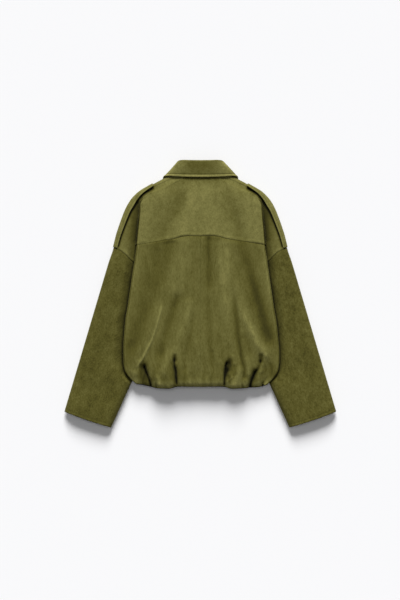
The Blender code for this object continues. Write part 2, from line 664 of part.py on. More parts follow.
def cloth(name, rows, color, ring=False, skip=None, thickness=CLOTH):
    """A cloth piece: quads between the rows of its middle surface, then made solid."""
    n = len(rows[0])
    verts = [p for r in rows for p in r]
    faces = []
    for i in range(len(rows) - 1):
        for j in range(n if ring else n - 1):
            if skip and skip(i, j):
                continue
            j2 = (j + 1) % n
            faces.append((i * n + j, i * n + j2, (i + 1) * n + j2, (i + 1) * n + j))
    used = sorted({v for f in faces for v in f})
    new = {v: i for i, v in enumerate(used)}
    faces = [tuple(new[v] for v in f) for f in faces]
    ob = add_object(name, [verts[v] for v in used], faces, color, 0.9)
    wall = ob.modifiers.new("wall", "SOLIDIFY")
    wall.thickness = thickness * MM
    wall.offset = 0.0
    wall.use_rim = True
    return ob


def flip(points, side):
    return [(side * x, y, z) for x, y, z in points]


def button(name, x, y, z, d, t, color, n=14):
    """A plain round button with a raised rim, lying face down."""
    profile = [(0.0, 0.0), (0.62, 0.0), (0.74, -0.5), (0.94, -0.5), (1.0, 0.1), (0.86, 0.5), (0.0, 0.5)]
    verts, faces = [], []
    verts.append((x, y, z - 0.2 * t))
    rings = []
    for r, h in profile[1:-1]:
        ring = []
        for i in range(n):
            a = 2 * math.pi * i / n
            ring.append(len(verts))
            hh = -0.2 if h == 0.0 else h
            verts.append((x + 0.5 * d * r * math.cos(a), y + 0.5 * d * r * math.sin(a), z + hh * t))
        rings.append(ring)
    top = len(verts)
    verts.append((x, y, z + 0.5 * t))
    for i in range(n):
        faces.append((0, rings[0][i], rings[0][(i + 1) % n]))
        for a, b in zip(rings, rings[1:]):
            faces.append((a[i], b[i], b[(i + 1) % n], a[(i + 1) % n]))
        faces.append((top, rings[-1][(i + 1) % n], rings[-1][i]))
    return add_object(name, verts, faces, color, 0.45)


def build():
    for ob in list(bpy.data.objects):
        bpy.data.objects.remove(ob, do_unlink=True)

    olive = (0.135, 0.125, 0.040)
    dark = (0.115, 0.106, 0.034)
    horn = (0.060, 0.045, 0.020)

    # back yoke: both halves of each section joined at the centre
    rows = []
    yoke_rows = [yoke_row(k) for k in TOP_ROWS]
    for half in yoke_rows:
        rows.append(flip(half[:0:-1], -1) + half)
    cloth("back_yoke", rows, olive)

    # lower back
    for name, side in (("back_left", -1), ("back_right", 1)):
        rows = []
        last = len(BACK) - 1
        for k in range(last + 1):
            row = back_row(k, side)
            if k == 0:
                row = [(x, y - SEAM - 0.25, z) for x, y, z in row]
            rows.append(flip(row, side))
        cloth(name, rows, olive)

    # fronts: the wearer's right front laps over the left one, so it lies lower here
    for name, side, outer in (("front_left", -1, False), ("front_right", 1, True)):
        rows = [flip(front_top_row(k, outer), side) for k in TOP_ROWS]
        n = len(rows[0])
        n_top = len(rows)
        for k in range(1, len(FRONT_LOW)):
            low = flip(front_low_row(k, outer), side)
            low += [low[-1]] * (n - len(low))
            rows.append(low)
        low_cols = N_FRONT_MAIN + (N_ARC + 1) + (N_INNER - 1) + (N_ARC + 1)
        cloth(name, rows, dark, skip=lambda i, j: i >= n_top - 1 and j >= low_cols - 1)

    # sleeves
    for name, side in (("sleeve_left", -1), ("sleeve_right", 1)):
        rows = [flip(sleeve_ring(v), side) for v in
                (0, 0.05, 0.10, 0.16, 0.23, 0.33, 0.45, 0.57, 0.69, 0.80, 0.90, 1.0)]
        cloth(name, rows, dark, ring=True)

    # collar
    last = len(COLLAR) - 1
    ks = [0, 0.7, 1.4, 2.0, 2.5, 3.0, 3.5, 4.0, 4.5, 5.0, 5.5, 6.2, 7.0, 8.0, 9.0]
    rows = [flip(fall_row(k), -1) for k in ks[:0:-1]] + [fall_row(k) for k in ks]
    cloth("collar_fall", rows, olive)
    rows = [flip(stand_row(k), -1) for k in ks[:0:-1]] + [stand_row(k) for k in ks]
    cloth("collar_stand", rows, dark)

    # shoulder tabs
    for name, side in (("epaulette_left", -1), ("epaulette_right", 1)):
        front_rows = [front_top_row(k, True) for k in TOP_ROWS]
        rows = [flip(tab_row(yoke_rows, front_rows, f), side) for f in TAB_ROWS]
        cloth(name, rows, olive)
        seat = Vector(rows[0][5]).lerp(Vector(rows[1][6]), 0.5)
        button(name.replace("epaulette", "epaulette_button"), seat.x, seat.y,
               seat.z - CLOTH / 2 - 0.5 * TAB_BUTTON_T - 1.4, TAB_BUTTON_D, TAB_BUTTON_T, horn)

    # buttons
    for i, y in enumerate(FRONT_BUTTON_Y):
        button("front_button_%d" % (i + 1), 0.0, y, 0.5 * BUTTON_T + 0.05, BUTTON_D, BUTTON_T, horn)


build()
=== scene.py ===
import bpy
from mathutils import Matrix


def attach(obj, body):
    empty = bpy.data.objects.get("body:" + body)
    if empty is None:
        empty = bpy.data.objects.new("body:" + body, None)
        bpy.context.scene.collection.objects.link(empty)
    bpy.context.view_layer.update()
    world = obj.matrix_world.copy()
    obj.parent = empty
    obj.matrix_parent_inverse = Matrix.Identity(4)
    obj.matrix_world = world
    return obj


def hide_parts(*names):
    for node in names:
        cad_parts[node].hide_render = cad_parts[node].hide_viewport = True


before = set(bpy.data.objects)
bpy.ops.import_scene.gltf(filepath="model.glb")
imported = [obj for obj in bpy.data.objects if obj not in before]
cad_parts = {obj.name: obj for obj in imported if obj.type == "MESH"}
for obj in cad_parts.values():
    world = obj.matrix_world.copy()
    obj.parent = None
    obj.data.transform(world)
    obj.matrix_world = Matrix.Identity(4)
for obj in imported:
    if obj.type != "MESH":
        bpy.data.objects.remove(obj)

"""Faux suede jacket laid flat with its back up: the fine cloth surfaces, materials, floor,
light and camera.  Lengths below are millimetres; meshes are written in metres."""

import math
from collections import namedtuple

import bpy
import numpy as np
from mathutils import Vector
from mathutils.bvhtree import BVHTree

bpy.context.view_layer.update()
MM = 0.001

# =======================================================================================
# camera first
# =======================================================================================
VIEW_X, VIEW_Y, VIEW_H = -0.8, -17.8, 1620.0     # middle and height of what the camera sees
LENS, FILM = 170.0, 36.0
cam_data = bpy.data.cameras.new("camera")
cam = bpy.data.objects.new("camera", cam_data)
bpy.context.scene.collection.objects.link(cam)
cam_data.lens = LENS
cam_data.sensor_width = FILM
cam_data.sensor_height = FILM
cam_data.sensor_fit = "AUTO"
cam_data.clip_end = 50
FOCUS_Z = 18.0
cam.location = (VIEW_X * MM, VIEW_Y * MM, (FOCUS_Z + VIEW_H / FILM * LENS) * MM)
cam.rotation_euler = (0, 0, 0)
bpy.context.scene.camera = cam

# =======================================================================================
# sizes and tables of the jacket
# =======================================================================================
CLOTH = 1.7
SEAM = 0.45
LIFT = 2.85

NECK_HALF = 83.0
NECK_BACK_Y = 318.0
HEM_Y = -250.0
YOKE_Y = 153.6
FRONT_NECK_Y = 238.0
PLACKET = 15.0
CUFF_OUT = (364.5, -319.0)
SLEEVE_FULL = 2.0
CUFF_IN = (241.5, -361.5)

Z_UPPER = 16.0
Z_UPPER_FREE = 21.5
Z_LOWER = 9.0
Z_FLOOR = 1.0
Z_SIDE = 9.8
Z_SEAM = 13.1

Edge = namedtuple("Edge", "y out")                       # body edge, half width
BODY_EDGE = [Edge(268, 164), Edge(239, 165.5), Edge(198, 168), Edge(158, 170), Edge(131, 172.5),
             Edge(90, 180), Edge(50, 186.5), Edge(9, 191.5), Edge(-31, 197), Edge(-72, 204.5),
             Edge(-112, 208.5), Edge(-153, 211), Edge(-185, 209.5), Edge(-207, 204), Edge(-223, 194),
             Edge(-236, 181), Edge(-243, 173), Edge(-256, 148), Edge(-268, 108)]

Shoulder = namedtuple("Shoulder", "out y")               # shoulder line, neck to armhole
SHOULDER = [Shoulder(NECK_HALF, 318.5), Shoulder(132, 291.8), Shoulder(160.8, 275), Shoulder(177.4, 260.2),
            Shoulder(188.4, 246.2), Shoulder(198.5, 228.2), Shoulder(208.4, 203.6), Shoulder(217.6, 177.8),
            Shoulder(225.6, 152.8), Shoulder(233.5, 123)]

Yoke = namedtuple("Yoke", "centre wrap_x wrap_y crease_x crease_y crown edge upper")
YOKE = [Yoke(NECK_BACK_Y, 30, 318.1, 54, 318.3, 28.5, 27.5, 23.5),
        Yoke(303.0, 68, 300, 108, 295, 31, 28, 21.5),
        Yoke(286.0, 104, 281, 141, 277, 33, 28, 18.5),
        Yoke(268.0, 140, 266, 158, 264, 35, 27.5, 17.0),
        Yoke(250.0, 160.5, 246, 152, 236, 36, 27, 16),
        Yoke(232.0, 162, 222, 134, 200, 37, 27, 16),
        Yoke(213.0, 163.5, 198, 115, 160, 38, 27, 16),
        Yoke(193.0, 165.5, 174, 94, 122, 39, 27, 16),
        Yoke(173.0, 167, 152, 73, 86, 40, 27, 16),
        Yoke(YOKE_Y, 168.5, 131, 53, 50, 41, 27, 16)]

Bow = namedtuple("Bow", "t drop")                        # shape of the yoke seam
YOKE_BOW = [Bow(0, 0), Bow(0.17, -0.04), Bow(0.30, 0.07), Bow(0.41, 0.30), Bow(0.63, 0.55),
            Bow(0.81, 0.78), Bow(1.0, 1.0)]

Hole = namedtuple("Hole", "t y")                         # armhole seam, underarm to shoulder
ARMHOLE = [Hole(0, 50), Hole(0.36, 60), Hole(0.62, 76), Hole(0.74, 89), Hole(0.83, 106),
           Hole(0.93, 118), Hole(1.0, 123)]

Back = namedtuple("Back", "centre wrap_y side_x side_y crown edge inner")
BACK = [Back(YOKE_Y, 131, 46.5, 47.5, 41, 27, 21.5),
        Back(128, 108, 56, 30, 41.5, 27, 21.5),
        Back(96, 78, 67, 4, 42, 27, 21.5),
        Back(62, 46, 79, -24, 42.5, 27, 21.5),
        Back(28, 14, 90, -50, 43, 27, 21.5),
        Back(-6, -18, 101, -77, 43.5, 27, 21.5),
        Back(-40, -50, 112, -104, 44, 27, 21.5),
        Back(-76, -84, 123, -130, 44.5, 27, 21.5),
        Back(-112, -118, 133, -156, 45, 27, 21.5),
        Back(-146, -150, 142, -180, 45, 27, 21.5),
        Back(-178, -180, 150, -203, 45, 27, 21.5),
        Back(-205, -204, 155, -222, 45.2, 27, 21.5),
        Back(-226, -221, 157, -234, 45, 27, 21.3),
        Back(-242, -235, 158, -241, 43.3, 26.5, 21),
        Back(-251.0, -243, 158, -245, 35.5, 25.5, 20.5),
        Back(-249.5, -244.5, 157, -244.5, 26.5, 24.5, 20.0),
        Back(-242.0, -241, 156, -242, 20.5, 23.5, 19.3)]

Hem = namedtuple("Hem", "out dip")                       # lower edge, how far it hangs below
HEM_DIP = [Hem(0, 0), Hem(50, 0.5), Hem(62, 0), Hem(88, -6), Hem(112, -6), Hem(135, -3),
           Hem(160, 0), Hem(215, 0)]

Front = namedtuple("Front", "centre wrap_x wrap_y crease_x crease_y main lower")
FRONT_TOP = [Front(FRONT_NECK_Y, 56, 266, 66, 282, 5.2, 6.2),
             Front(224, 88, 262, 108, 274, 4.6, 6.2),
             Front(208, 116, 256, 138, 265, 3.6, 6.4),
             Front(192, 140, 252, 151, 254, 2.4, 7.6),
             Front(174, 153, 236, 146, 226, 1.0, 9),
             Front(158, 155, 212, 130, 190, 1.0, 9),
             Front(142, 156.5, 188, 112, 152, 1.0, 9),
             Front(126, 158, 165, 92, 116, 1.0, 9),
             Front(108, 160, 143, 72, 82, 1.0, 9),
             Front(92, 162, 122, 53, 49, 1.0, 9)]
FrontLow = namedtuple("FrontLow", "centre wrap_y side_x side_y main inner")
FRONT_LOW = [FrontLow(92, 122, 47, 48, 1.0, 5),
             FrontLow(50, 74, 64, 10, 1.0, 5),
             FrontLow(5, 24, 83, -34, 1.0, 5),
             FrontLow(-42, -28, 102, -80, 1.0, 5),
             FrontLow(-90, -80, 120, -125, 1.0, 5),
             FrontLow(-136, -130, 136, -166, 1.0, 5),
             FrontLow(-178, -176, 149, -202, 1.0, 5),
             FrontLow(-212, -208, 155, -222, 1.0, 5),
             FrontLow(-234, -228, 157, -236, 1.2, 5.2),
             FrontLow(-247, -240, 158, -244, 3.0, 7.0)]

Collar = namedtuple("Collar", "roll_x roll_y roll_z edge_x edge_y edge_z seam face")
COLLAR = [Collar(0, 355.8, 31.5, 0, 313.6, 34.0, 0.000, 90),
          Collar(26, 356.1, 31.5, 32, 314.2, 33.2, 0.125, 90),
          Collar(47, 356.7, 30.5, 65, 315.7, 29.8, 0.250, 86),
          Collar(57.5, 356.0, 26.5, 87, 317.2, 24.5, 0.360, 62),
          Collar(61.5, 352.8, 20.0, 98.5, 316.0, 17.0, 0.440, 25),
          Collar(61.5, 349.0, 12.5, 101.5, 311.5, 9.5, 0.505, -20),
          Collar(57, 340.0, 7.5, 100.5, 299.0, 2.6, 0.580, -60),
          Collar(48, 322.0, 4.6, 95, 273.0, 1.3, 0.680, -86),
          Collar(30, 285.0, 3.8, 83, 240.0, 1.0, 0.840, -90),
          Collar(13, 251.0, 3.8, 64, 205.0, 1.0, 0.985, -90)]
ROLL_R = 2.4
TAB_IN = ([0, 0.9, 1.7, 2.5, 3.4, 4.4, 6.5, 8.2, 9], [4.0, 4.4, 6.0, 8.4, 10.6, 11.7, 10.5, 9.2, 9.2])
TAB_WIDTH = 34.0
TAB_START = 0.9


# =======================================================================================
# helpers
# =======================================================================================
def smooth(t):
    t = np.clip(t, 0.0, 1.0)
    return t * t * (3 - 2 * t)


def lerp(a, b, t):
    return a + (b - a) * t


def row_at(table, k):
    """The table's row at a fractional row number k, on a smooth curve through its rows."""
    n = len(table) - 1
    i = min(n - 1, max(0, int(math.floor(k))))
    t = k - i
    p1, p2 = table[i], table[i + 1]
    p0 = table[i - 1] if i > 0 else [2 * a - b for a, b in zip(p1, p2)]
    p3 = table[i + 2] if i + 2 <= n else [2 * b - a for a, b in zip(p1, p2)]
    out = []
    for a, b, c, d in zip(p0, p1, p2, p3):
        out.append(0.5 * (2 * b + (c - a) * t + (2 * a - 5 * b + 4 * c - d) * t * t
                          + (3 * b - a - 3 * c + d) * t ** 3))
    return type(p1)(*out)


def curve_through(xs, ys, n=1200):
    """A smooth curve through points, with no overshoot, as two long arrays for np.interp."""
    xs, ys = np.array(xs, float), np.array(ys, float)
    order = np.argsort(xs)
    xs, ys = xs[order], ys[order]
    h, d = np.diff(xs), np.diff(ys) / np.diff(xs)
    m = np.zeros(len(xs))
    m[0], m[-1] = d[0], d[-1]
    for i in range(1, len(xs) - 1):
        if d[i - 1] * d[i] > 0:
            w1, w2 = 2 * h[i] + h[i - 1], h[i] + 2 * h[i - 1]
            m[i] = (w1 + w2) / (w1 / d[i - 1] + w2 / d[i])
    q = np.linspace(xs[0], xs[-1], n)
    i = np.clip(np.searchsorted(xs, q, side="right") - 1, 0, len(xs) - 2)
    t = (q - xs[i]) / h[i]
    v = ((1 + 2 * t) * (1 - t) ** 2 * ys[i] + t * (1 - t) ** 2 * h[i] * m[i]
         + t * t * (3 - 2 * t) * ys[i + 1] + t * t * (t - 1) * h[i] * m[i + 1])
    return q, v


_edge = curve_through([e.y for e in BODY_EDGE], [e.out for e in BODY_EDGE])
_bow = curve_through([b.t for b in YOKE_BOW], [b.drop for b in YOKE_BOW])
_hole = curve_through([b.t for b in ARMHOLE], [b.y for b in ARMHOLE])
_dip = curve_through([b.out for b in HEM_DIP], [b.dip for b in HEM_DIP])


def edge_x(y):
    return np.interp(y, *_edge)


Side = namedtuple("Side", "y left right")                # how far each side stands out from that
YOKE_SIDE = [Side(285, 0, 0), Side(262, 0, 1.5), Side(240, 0, 3.0), Side(218, 0.4, 4.3), Side(197, 1.5, 4.6),
             Side(175, 1.9, 5.2), Side(154, 2.7, 5.6), Side(132, 3.2, 5.6), Side(110, 3.2, 5.6)]
BACK_SIDE = [Side(131, -0.6, 2.0), Side(110, -1.6, 1.0), Side(89, -3.2, 0.4), Side(68, -2.9, -0.4),
             Side(46, -2.5, -0.6), Side(24, -2.3, 0.0), Side(3, -1.5, 0.5), Side(-19, -1.2, 0.9), Side(-62, -1.7, 0.3),
             Side(-84, -2.4, 0.6), Side(-127, -2.6, 1.3), Side(-170, -2.2, 2.8), Side(-192, -1.4, 4.2),
             Side(-213, 0.4, 7.2), Side(-235, 0.8, 8.8), Side(-260, 0.8, 9.0)]


def side_shift(table, side, y):
    t = table[::-1]
    return np.interp(y, [r.y for r in t], [r.left if side < 0 else r.right for r in t])


def from_body(X, Y):
    """How far out from the body edge a spot lies."""
    y = np.clip(Y, -262, 300)
    side = [np.where(Y > 141, side_shift(YOKE_SIDE, s_, y), side_shift(BACK_SIDE, s_, y)) for s_ in (-1, 1)]
    return np.abs(X) - edge_x(y) - np.where(X < 0, side[0], side[1])


def bow_at(t):
    return np.interp(t, *_bow)


def hole_at(t):
    return np.interp(t, *_hole)


def dip_at(x):
    return np.interp(np.abs(x), *_dip)


def shoulder_at(s):
    r = row_at(SHOULDER, s * (len(SHOULDER) - 1))
    return r.out, r.y


def at(px, py):
    """Plan position of a spot given on a grid of 2.7 mm steps counted from the picture's corner."""
    return (px - 200.3) * 2.7, (293.4 - py) * 2.7


def waves(x, seed, lengths, amps=None):
    """A smooth uneven ripple: sines of unrelated lengths."""
    rng = np.random.RandomState(seed)
    out = 0.0
    for i, w in enumerate(lengths):
        a = 1.0 if amps is None else amps[i]
        out = out + a * np.sin(2 * np.pi * x / w + rng.uniform(0, 6.28))
    return out


def to_line(X, Y, points):
    """Signed distance to a line of points (positive to its right, as drawn from top to
    bottom), how far along it (0 to 1) the nearest spot is, and the length before it."""
    best = np.full(X.shape, 1e9)
    sign = np.zeros(X.shape)
    run = np.zeros(X.shape)
    pts = [np.array(p, float) for p in points]
    total = sum(np.hypot(*(b - a)) for a, b in zip(pts, pts[1:]))
    before = 0.0
    for a, b in zip(pts, pts[1:]):
        e = b - a
        n = np.hypot(*e)
        u = e / n
        t = np.clip((X - a[0]) * u[0] + (Y - a[1]) * u[1], 0, n)
        dx, dy = X - (a[0] + u[0] * t), Y - (a[1] + u[1] * t)
        d = np.hypot(dx, dy)
        closer = d < best
        best = np.where(closer, d, best)
        sign = np.where(closer, np.where(dy * u[0] - dx * u[1] > 0, 1.0, -1.0), sign)
        run = np.where(closer, before + t, run)
        before += n
    return best * sign, run / total, run


def rounded(points, n=5):
    """More points along a line, on a smooth curve through it."""
    table = [Edge(*p) for p in points]
    out = []
    for i in range((len(points) - 1) * n + 1):
        r = row_at(table, i / n)
        out.append((r.y, r.out))
    return out


# =======================================================================================
# folds, tucks and shading marks of the lower back, each along a line drawn on the plan
# =======================================================================================
# line points (grid steps), width to its left, width to its right (mm), height (mm),
# tone (share added to the colour: painted shade in the troughs, painted light on the ridges),
# how softly it starts and ends (share of its length)
Mark = namedtuple("Mark", "line left right height tone head tail")
FOLDS = [
    # left: the side darkened by painted shade with its boundary, then the crisp ridge lightened by painted light
    Mark([(172.5, 243), (169.5, 254), (165.5, 266), (161.5, 280), (158, 292), (154, 303)], 52, 9, -2.0, -0.24, 0.0, 0.42),
    Mark([(160, 246), (155, 268), (149, 290), (145, 306)], 17, 15, -1.2, -0.03, 0.1, 0.5),
    Mark([(139, 246), (135, 290)], 9, 9, 0.3, 0.10, 0, 0),
    Mark([(131, 336), (129, 350), (126.5, 362), (127.5, 370)], 13, 12, -1.4, -0.28, 0.3, 0.25),
    Mark([(156, 276), (149, 298), (142, 318), (138, 332), (134, 346), (130, 358)], 24, 18, -4.0, -0.34, 0.42, 0.2),
    Mark([(161, 300), (156, 318), (150, 334), (144, 348), (139, 358)], 13, 8, 2.6, 0.07, 0.3, 0.2),
    Mark([(162.5, 303), (160, 314), (157.8, 322), (155, 331), (151, 342), (147, 350), (143, 358), (138, 366)],
         3.0, 3.8, 2.4, 0.58, 0.12, 0.08),
    Mark([(151, 340), (146.5, 350), (142, 359), (138, 366)], 4, 4, 1.2, 0.34, 0.2, 0.0),
    Mark([(138.5, 361), (137, 372), (137, 377)], 5.5, 5.5, 1.0, 0.32, 0, 0.2),
    # the trough to its right and the light ridge beyond
    Mark([(182, 286), (176, 302), (171, 318), (166, 334), (161, 350), (158, 364)], 12, 12, -3.0, -0.26, 0.25, 0.15),
    Mark([(177, 298), (174, 306)], 8, 8, -0.6, -0.15, 0, 0),
    Mark([(162, 348), (159, 366)], 9, 9, -1.0, -0.14, 0, 0),
    Mark([(189, 296), (188, 310), (185, 322), (181, 335), (177, 346), (171, 358), (165, 370), (161, 380)],
         13, 13, 1.8, 0.18, 0.08, 0.1),
    Mark([(188, 308), (187.5, 315)], 5, 5, 0.3, 0.15, 0, 0),
    Mark([(181, 329), (179, 336)], 5, 5, 0.3, 0.13, 0, 0),
    Mark([(193, 308), (192, 326), (189, 342), (186, 358), (184, 374)], 7, 6, -1.6, -0.19, 0.2, 0.1),
    Mark([(199, 332), (198, 350), (198, 372)], 9, 9, 1.0, 0.11, 0.3, 0.2),
    Mark([(185, 244), (182, 262), (178, 280), (173, 298)], 24, 26, 1.0, 0.20, 0.0, 0.15),
    Mark([(172, 270), (170, 284)], 8, 8, 0.3, 0.09, 0, 0),
    # trough beside the centre
    Mark([(208.5, 238), (208.5, 258), (208.8, 275), (209, 296)], 9.0, 9.5, -2.4, -0.37, 0.0, 0.3),
    Mark([(208, 288), (208, 315), (210, 345), (211, 374)], 8, 8, -1.2, -0.16, 0.2, 0.3),
    # light field right of the centre
    Mark([(223.5, 243), (223.5, 262), (224, 290), (225, 326)], 17, 19, 1.4, 0.34, 0.0, 0.48),
    Mark([(227, 250), (227.5, 256)], 6, 6, 0.3, 0.17, 0, 0),
    Mark([(220, 260), (219, 264)], 5, 5, 0.2, 0.13, 0, 0),
    Mark([(228, 264), (228.2, 273)], 4, 4, 0.4, 0.20, 0, 0),
    Mark([(222, 275), (221.5, 284)], 6, 6, 0.2, 0.08, 0, 0),
    Mark([(226, 286), (227, 305), (228, 322), (230, 340), (232, 353)], 11, 9, 1.4, 0.22, 0.30, 0.2),
    # narrow trough, the bright uneven ridge, the wide trough outside it
    Mark([(233, 286), (234.5, 300), (236, 314), (237, 327), (238.5, 341), (241, 356), (243.5, 368),
          (244.8, 381)], 6.0, 6.5, -3.6, -0.46, 0.30, 0.05),
    Mark([(237, 290), (241, 308), (245.5, 319), (250, 328), (254, 336.5), (258.5, 345), (264, 353), (270, 361)],
         11, 11, 2.8, 0.28, 0.5, 0.10),
    Mark([(233.5, 274), (237, 290), (241, 308), (245.5, 319), (250, 328), (254, 336.5), (258.5, 345), (264, 353), (270, 361)],
         19, 15, 1.0, 0.20, 0.16, 0.12),
    Mark([(243.5, 318), (246, 324)], 5, 5, 0.4, 0.17, 0, 0),
    Mark([(250.5, 328.5), (253, 334)], 5, 5, 0.5, 0.24, 0, 0),
    Mark([(256, 341), (258, 346)], 5, 5, 0.4, 0.18, 0, 0),
    Mark([(265, 355), (270, 361)], 6, 6, 0.6, 0.20, 0, 0),
    Mark([(240.5, 243), (245, 256), (249, 268), (253.5, 283), (257.5, 299), (261.5, 313), (265.5, 326),
          (269.5, 339), (273, 350)], 19, 14, -3.4, -0.60, 0.50, 0.12),
    Mark([(260.5, 245), (264.5, 262), (269, 290), (273, 312)], 9, 20, 0.5, 0.17, 0.0, 0.3),
    Mark([(240, 243), (243.5, 252), (247, 261)], 15, 15, 0, -0.27, 0, 0),
    Mark([(246, 338), (250, 352)], 9, 9, -1.0, -0.22, 0, 0),
    Mark([(271, 365), (273, 374)], 9, 9, -1.0, -0.26, 0, 0),
    Mark([(142, 250), (138, 276)], 7, 7, 0.2, 0.07, 0, 0),
]

# gathers at the hem: a slot between two lips, made black with painted shade
# line, width of the slot to its left and right, depth, tone (painted shade of the slot), head, tail
TUCKS = [
    Mark([(143.6, 363), (145.3, 368), (147.2, 373), (149.0, 378), (150.7, 383), (152, 388)], 6.5, 2.6, -11, -0.78, 0.16, 0.12),
    Mark([(175, 355), (174.2, 362), (174.6, 366), (175.9, 371), (176.4, 378), (177.5, 388)], 3.6, 2.8, -10, -0.80, 0.2, 0.20),
    Mark([(227, 360.5), (225.2, 366), (224.4, 372), (224.2, 378), (224, 388)], 1.5, 4.2, -11, -0.82, 0.1, 0.16),
    Mark([(256.6, 368.5), (254.4, 373), (251.8, 379), (249.4, 387)], 4.0, 4.4, -11, -0.92, 0.22, 0.0),
]
# soft hollows and puffs round the gathers, with painted shade in the hollows and painted light on the puffs
SOFT = [
    Mark([(143, 366), (142.8, 375), (144.5, 385)], 13, 12, -3.5, -0.56, 0, 0),
    Mark([(150.5, 380), (150.5, 386)], 5, 5, -1.0, -0.30, 0, 0),
    Mark([(174.6, 356), (174.8, 360)], 5.6, 5.6, -3.0, -0.66, 0, 0),
    Mark([(175.3, 368), (175.8, 385)], 9.5, 7, -2.0, -0.52, 0, 0),
    Mark([(170.5, 364), (169.5, 374), (168.8, 383)], 7, 7, -1.5, -0.30, 0, 0),
    Mark([(229, 362), (227.8, 369)], 9.5, 11, -3.6, -0.80, 0, 0),
    Mark([(225.5, 374), (224.8, 385)], 6, 8, -1.5, -0.30, 0, 0),
    Mark([(226, 370), (225.2, 375)], 4, 6, -2.0, -0.38, 0, 0),
    Mark([(228.8, 376), (230.2, 383)], 4, 4, -1.5, -0.34, 0, 0),
    Mark([(234.8, 366), (233.2, 375)], 6, 6, -1.0, -0.20, 0, 0),
    Mark([(261, 356), (260.6, 361)], 6.0, 6.0, -3.0, -0.70, 0, 0),
    Mark([(256, 370.5), (253.3, 376), (251, 385)], 8, 9, -2.0, -0.54, 0, 0),
    Mark([(260.3, 361), (259.1, 366), (257, 370)], 3.4, 3.4, -1.6, -0.42, 0, 0),
    Mark([(240, 370), (237.5, 378), (234.5, 384)], 8, 8, 2.0, 0.30, 0, 0),
    Mark([(232.6, 377), (226.8, 381.5)], 2.8, 2.8, 1.0, 0.20, 0, 0),
    Mark([(236.5, 373.5), (232.0, 379)], 2.4, 2.4, -0.8, -0.16, 0, 0),
    Mark([(232.5, 356), (233.5, 364)], 4, 4, 1.2, 0.16, 0, 0),
    Mark([(258.5, 372.5), (262.5, 371)], 5, 5, 1.4, 0.10, 0, 0),
    Mark([(265, 369), (269, 376)], 9, 11, -1.0, -0.20, 0, 0),
    Mark([(264.5, 381), (268.5, 380)], 4.5, 4.5, 0.4, -0.14, 0, 0),
    Mark([(266.5, 379), (262, 384)], 5, 5, -1.0, -0.22, 0, 0),
    Mark([(264, 361), (262.5, 369)], 5, 5, 1.0, 0.12, 0, 0),
    Mark([(246.5, 360), (248.5, 374)], 6, 6, 1.2, 0.14, 0, 0),
    Mark([(157.8, 378), (159.2, 383)], 7, 7, 2.6, 0.38, 0, 0),
    Mark([(153, 367), (154.5, 377)], 6, 8, 0.6, -0.12, 0, 0),
    Mark([(179.5, 374), (180.5, 386)], 8, 9, -0.3, -0.14, 0, 0),
    Mark([(219.5, 362), (219.5, 387)], 10, 8, -0.6, -0.23, 0.15, 0),
    Mark([(134.5, 372), (136.5, 382)], 6.5, 5, 1.2, 0.38, 0, 0),
    Mark([(190, 379.5), (190.3, 383)], 5, 5, 1.2, 0.20, 0, 0),
    Mark([(183.5, 370), (184.5, 384)], 5, 5, -1.0, -0.18, 0, 0),
    Mark([(198, 379), (199.5, 383)], 5, 5, 0.8, 0.10, 0, 0),
    Mark([(206.5, 379), (207, 383)], 5.5, 5.5, 1.2, 0.18, 0, 0),
    Mark([(212, 352), (213, 368), (213.5, 383)], 5, 5, -1.0, -0.19, 0, 0),
    Mark([(217.5, 380), (217.5, 383)], 5, 5, 1.0, 0.16, 0, 0),
    Mark([(202.5, 372), (203, 384)], 3.5, 3.5, -0.8, -0.12, 0, 0),
    Mark([(194.5, 376), (194.8, 384)], 3.5, 3.5, -0.8, -0.12, 0, 0),
    Mark([(171, 381), (172, 384)], 4, 4, 0.8, 0.10, 0, 0),
    Mark([(156, 384), (156.5, 387)], 3, 3, -1.0, -0.40, 0, 0),
    Mark([(242, 384.5), (242.5, 387)], 2.8, 2.8, -1.2, -0.50, 0, 0),
    Mark([(262.5, 383), (263.5, 386)], 2.8, 2.8, -1.0, -0.40, 0, 0),
]


def mark_profile(m, X, Y, sharp):
    d, share, _ = to_line(X, Y, rounded([at(*p) for p in m.line], 4))
    w = np.where(d > 0, m.right, m.left)
    a = np.exp(-np.abs(d) / w) if sharp else np.exp(-(d / w) ** 2)
    fade = np.ones(X.shape)
    if m.head > 0:
        fade = fade * smooth(share / m.head)
    if m.tail > 0:
        fade = fade * smooth((1 - share) / m.tail)
    return a * fade


def back_marks(X, Y):
    """Height, and tone of painted shade and painted light, that the folds and gathers add on the lower back."""
    dz, tone = np.zeros(X.shape), np.zeros(X.shape)
    for m in FOLDS + SOFT:
        a = mark_profile(m, X, Y, False)
        dz += m.height * a
        tone += m.tone * a
    for m in TUCKS:
        a = mark_profile(m, X, Y, True)
        dz += m.height * a
        tone += m.tone * np.minimum(1.0, 1.25 * a) ** 1.6
    # small gathers all along the hem
    low = smooth((-190 - Y) / 55)
    dz += low * waves(X + 0.10 * (Y + 220), 5, (17.0, 24.5, 39.0), (0.45, 0.65, 0.8))
    sway = 3.0 * waves(Y, 12, (61.0, 97.0))
    # painted light and shade following the gathers
    tone += low * 0.018 * waves(X + 0.15 * (Y + 220), 5, (17.0, 24.5, 39.0))
    tone += smooth((-95 - Y) / 90) * 0.034 * waves(X + 0.10 * (Y + 220) + sway, 15, (8.3, 12.1, 17.7, 26.0))
    tone += smooth((Y + 60) / 60) * np.exp(-((X - 5) / 60.0) ** 2) * 0.022 * waves(X + 0.3 * sway, 17, (6.1, 9.4, 14.3))
    # the hem stands up beside the gathers and lies lower between them and at the right corner
    dz += smooth((-140 - Y) / 80) * (4.5 * np.exp(-((X + 84) / 34.0) ** 2) + 3.2 * np.exp(-((X - 92) / 26.0) ** 2)
                                    - 3.2 * np.exp(-((X - 2) / 36.0) ** 2) - 6.0 * np.exp(-((X - 168) / 24.0) ** 2))
    # a long quiet swell
    dz += 0.5 * waves(X + 0.25 * Y, 9, (71.0, 113.0)) * waves(Y, 10, (150.0, 230.0)) * 0.5
    return dz, tone
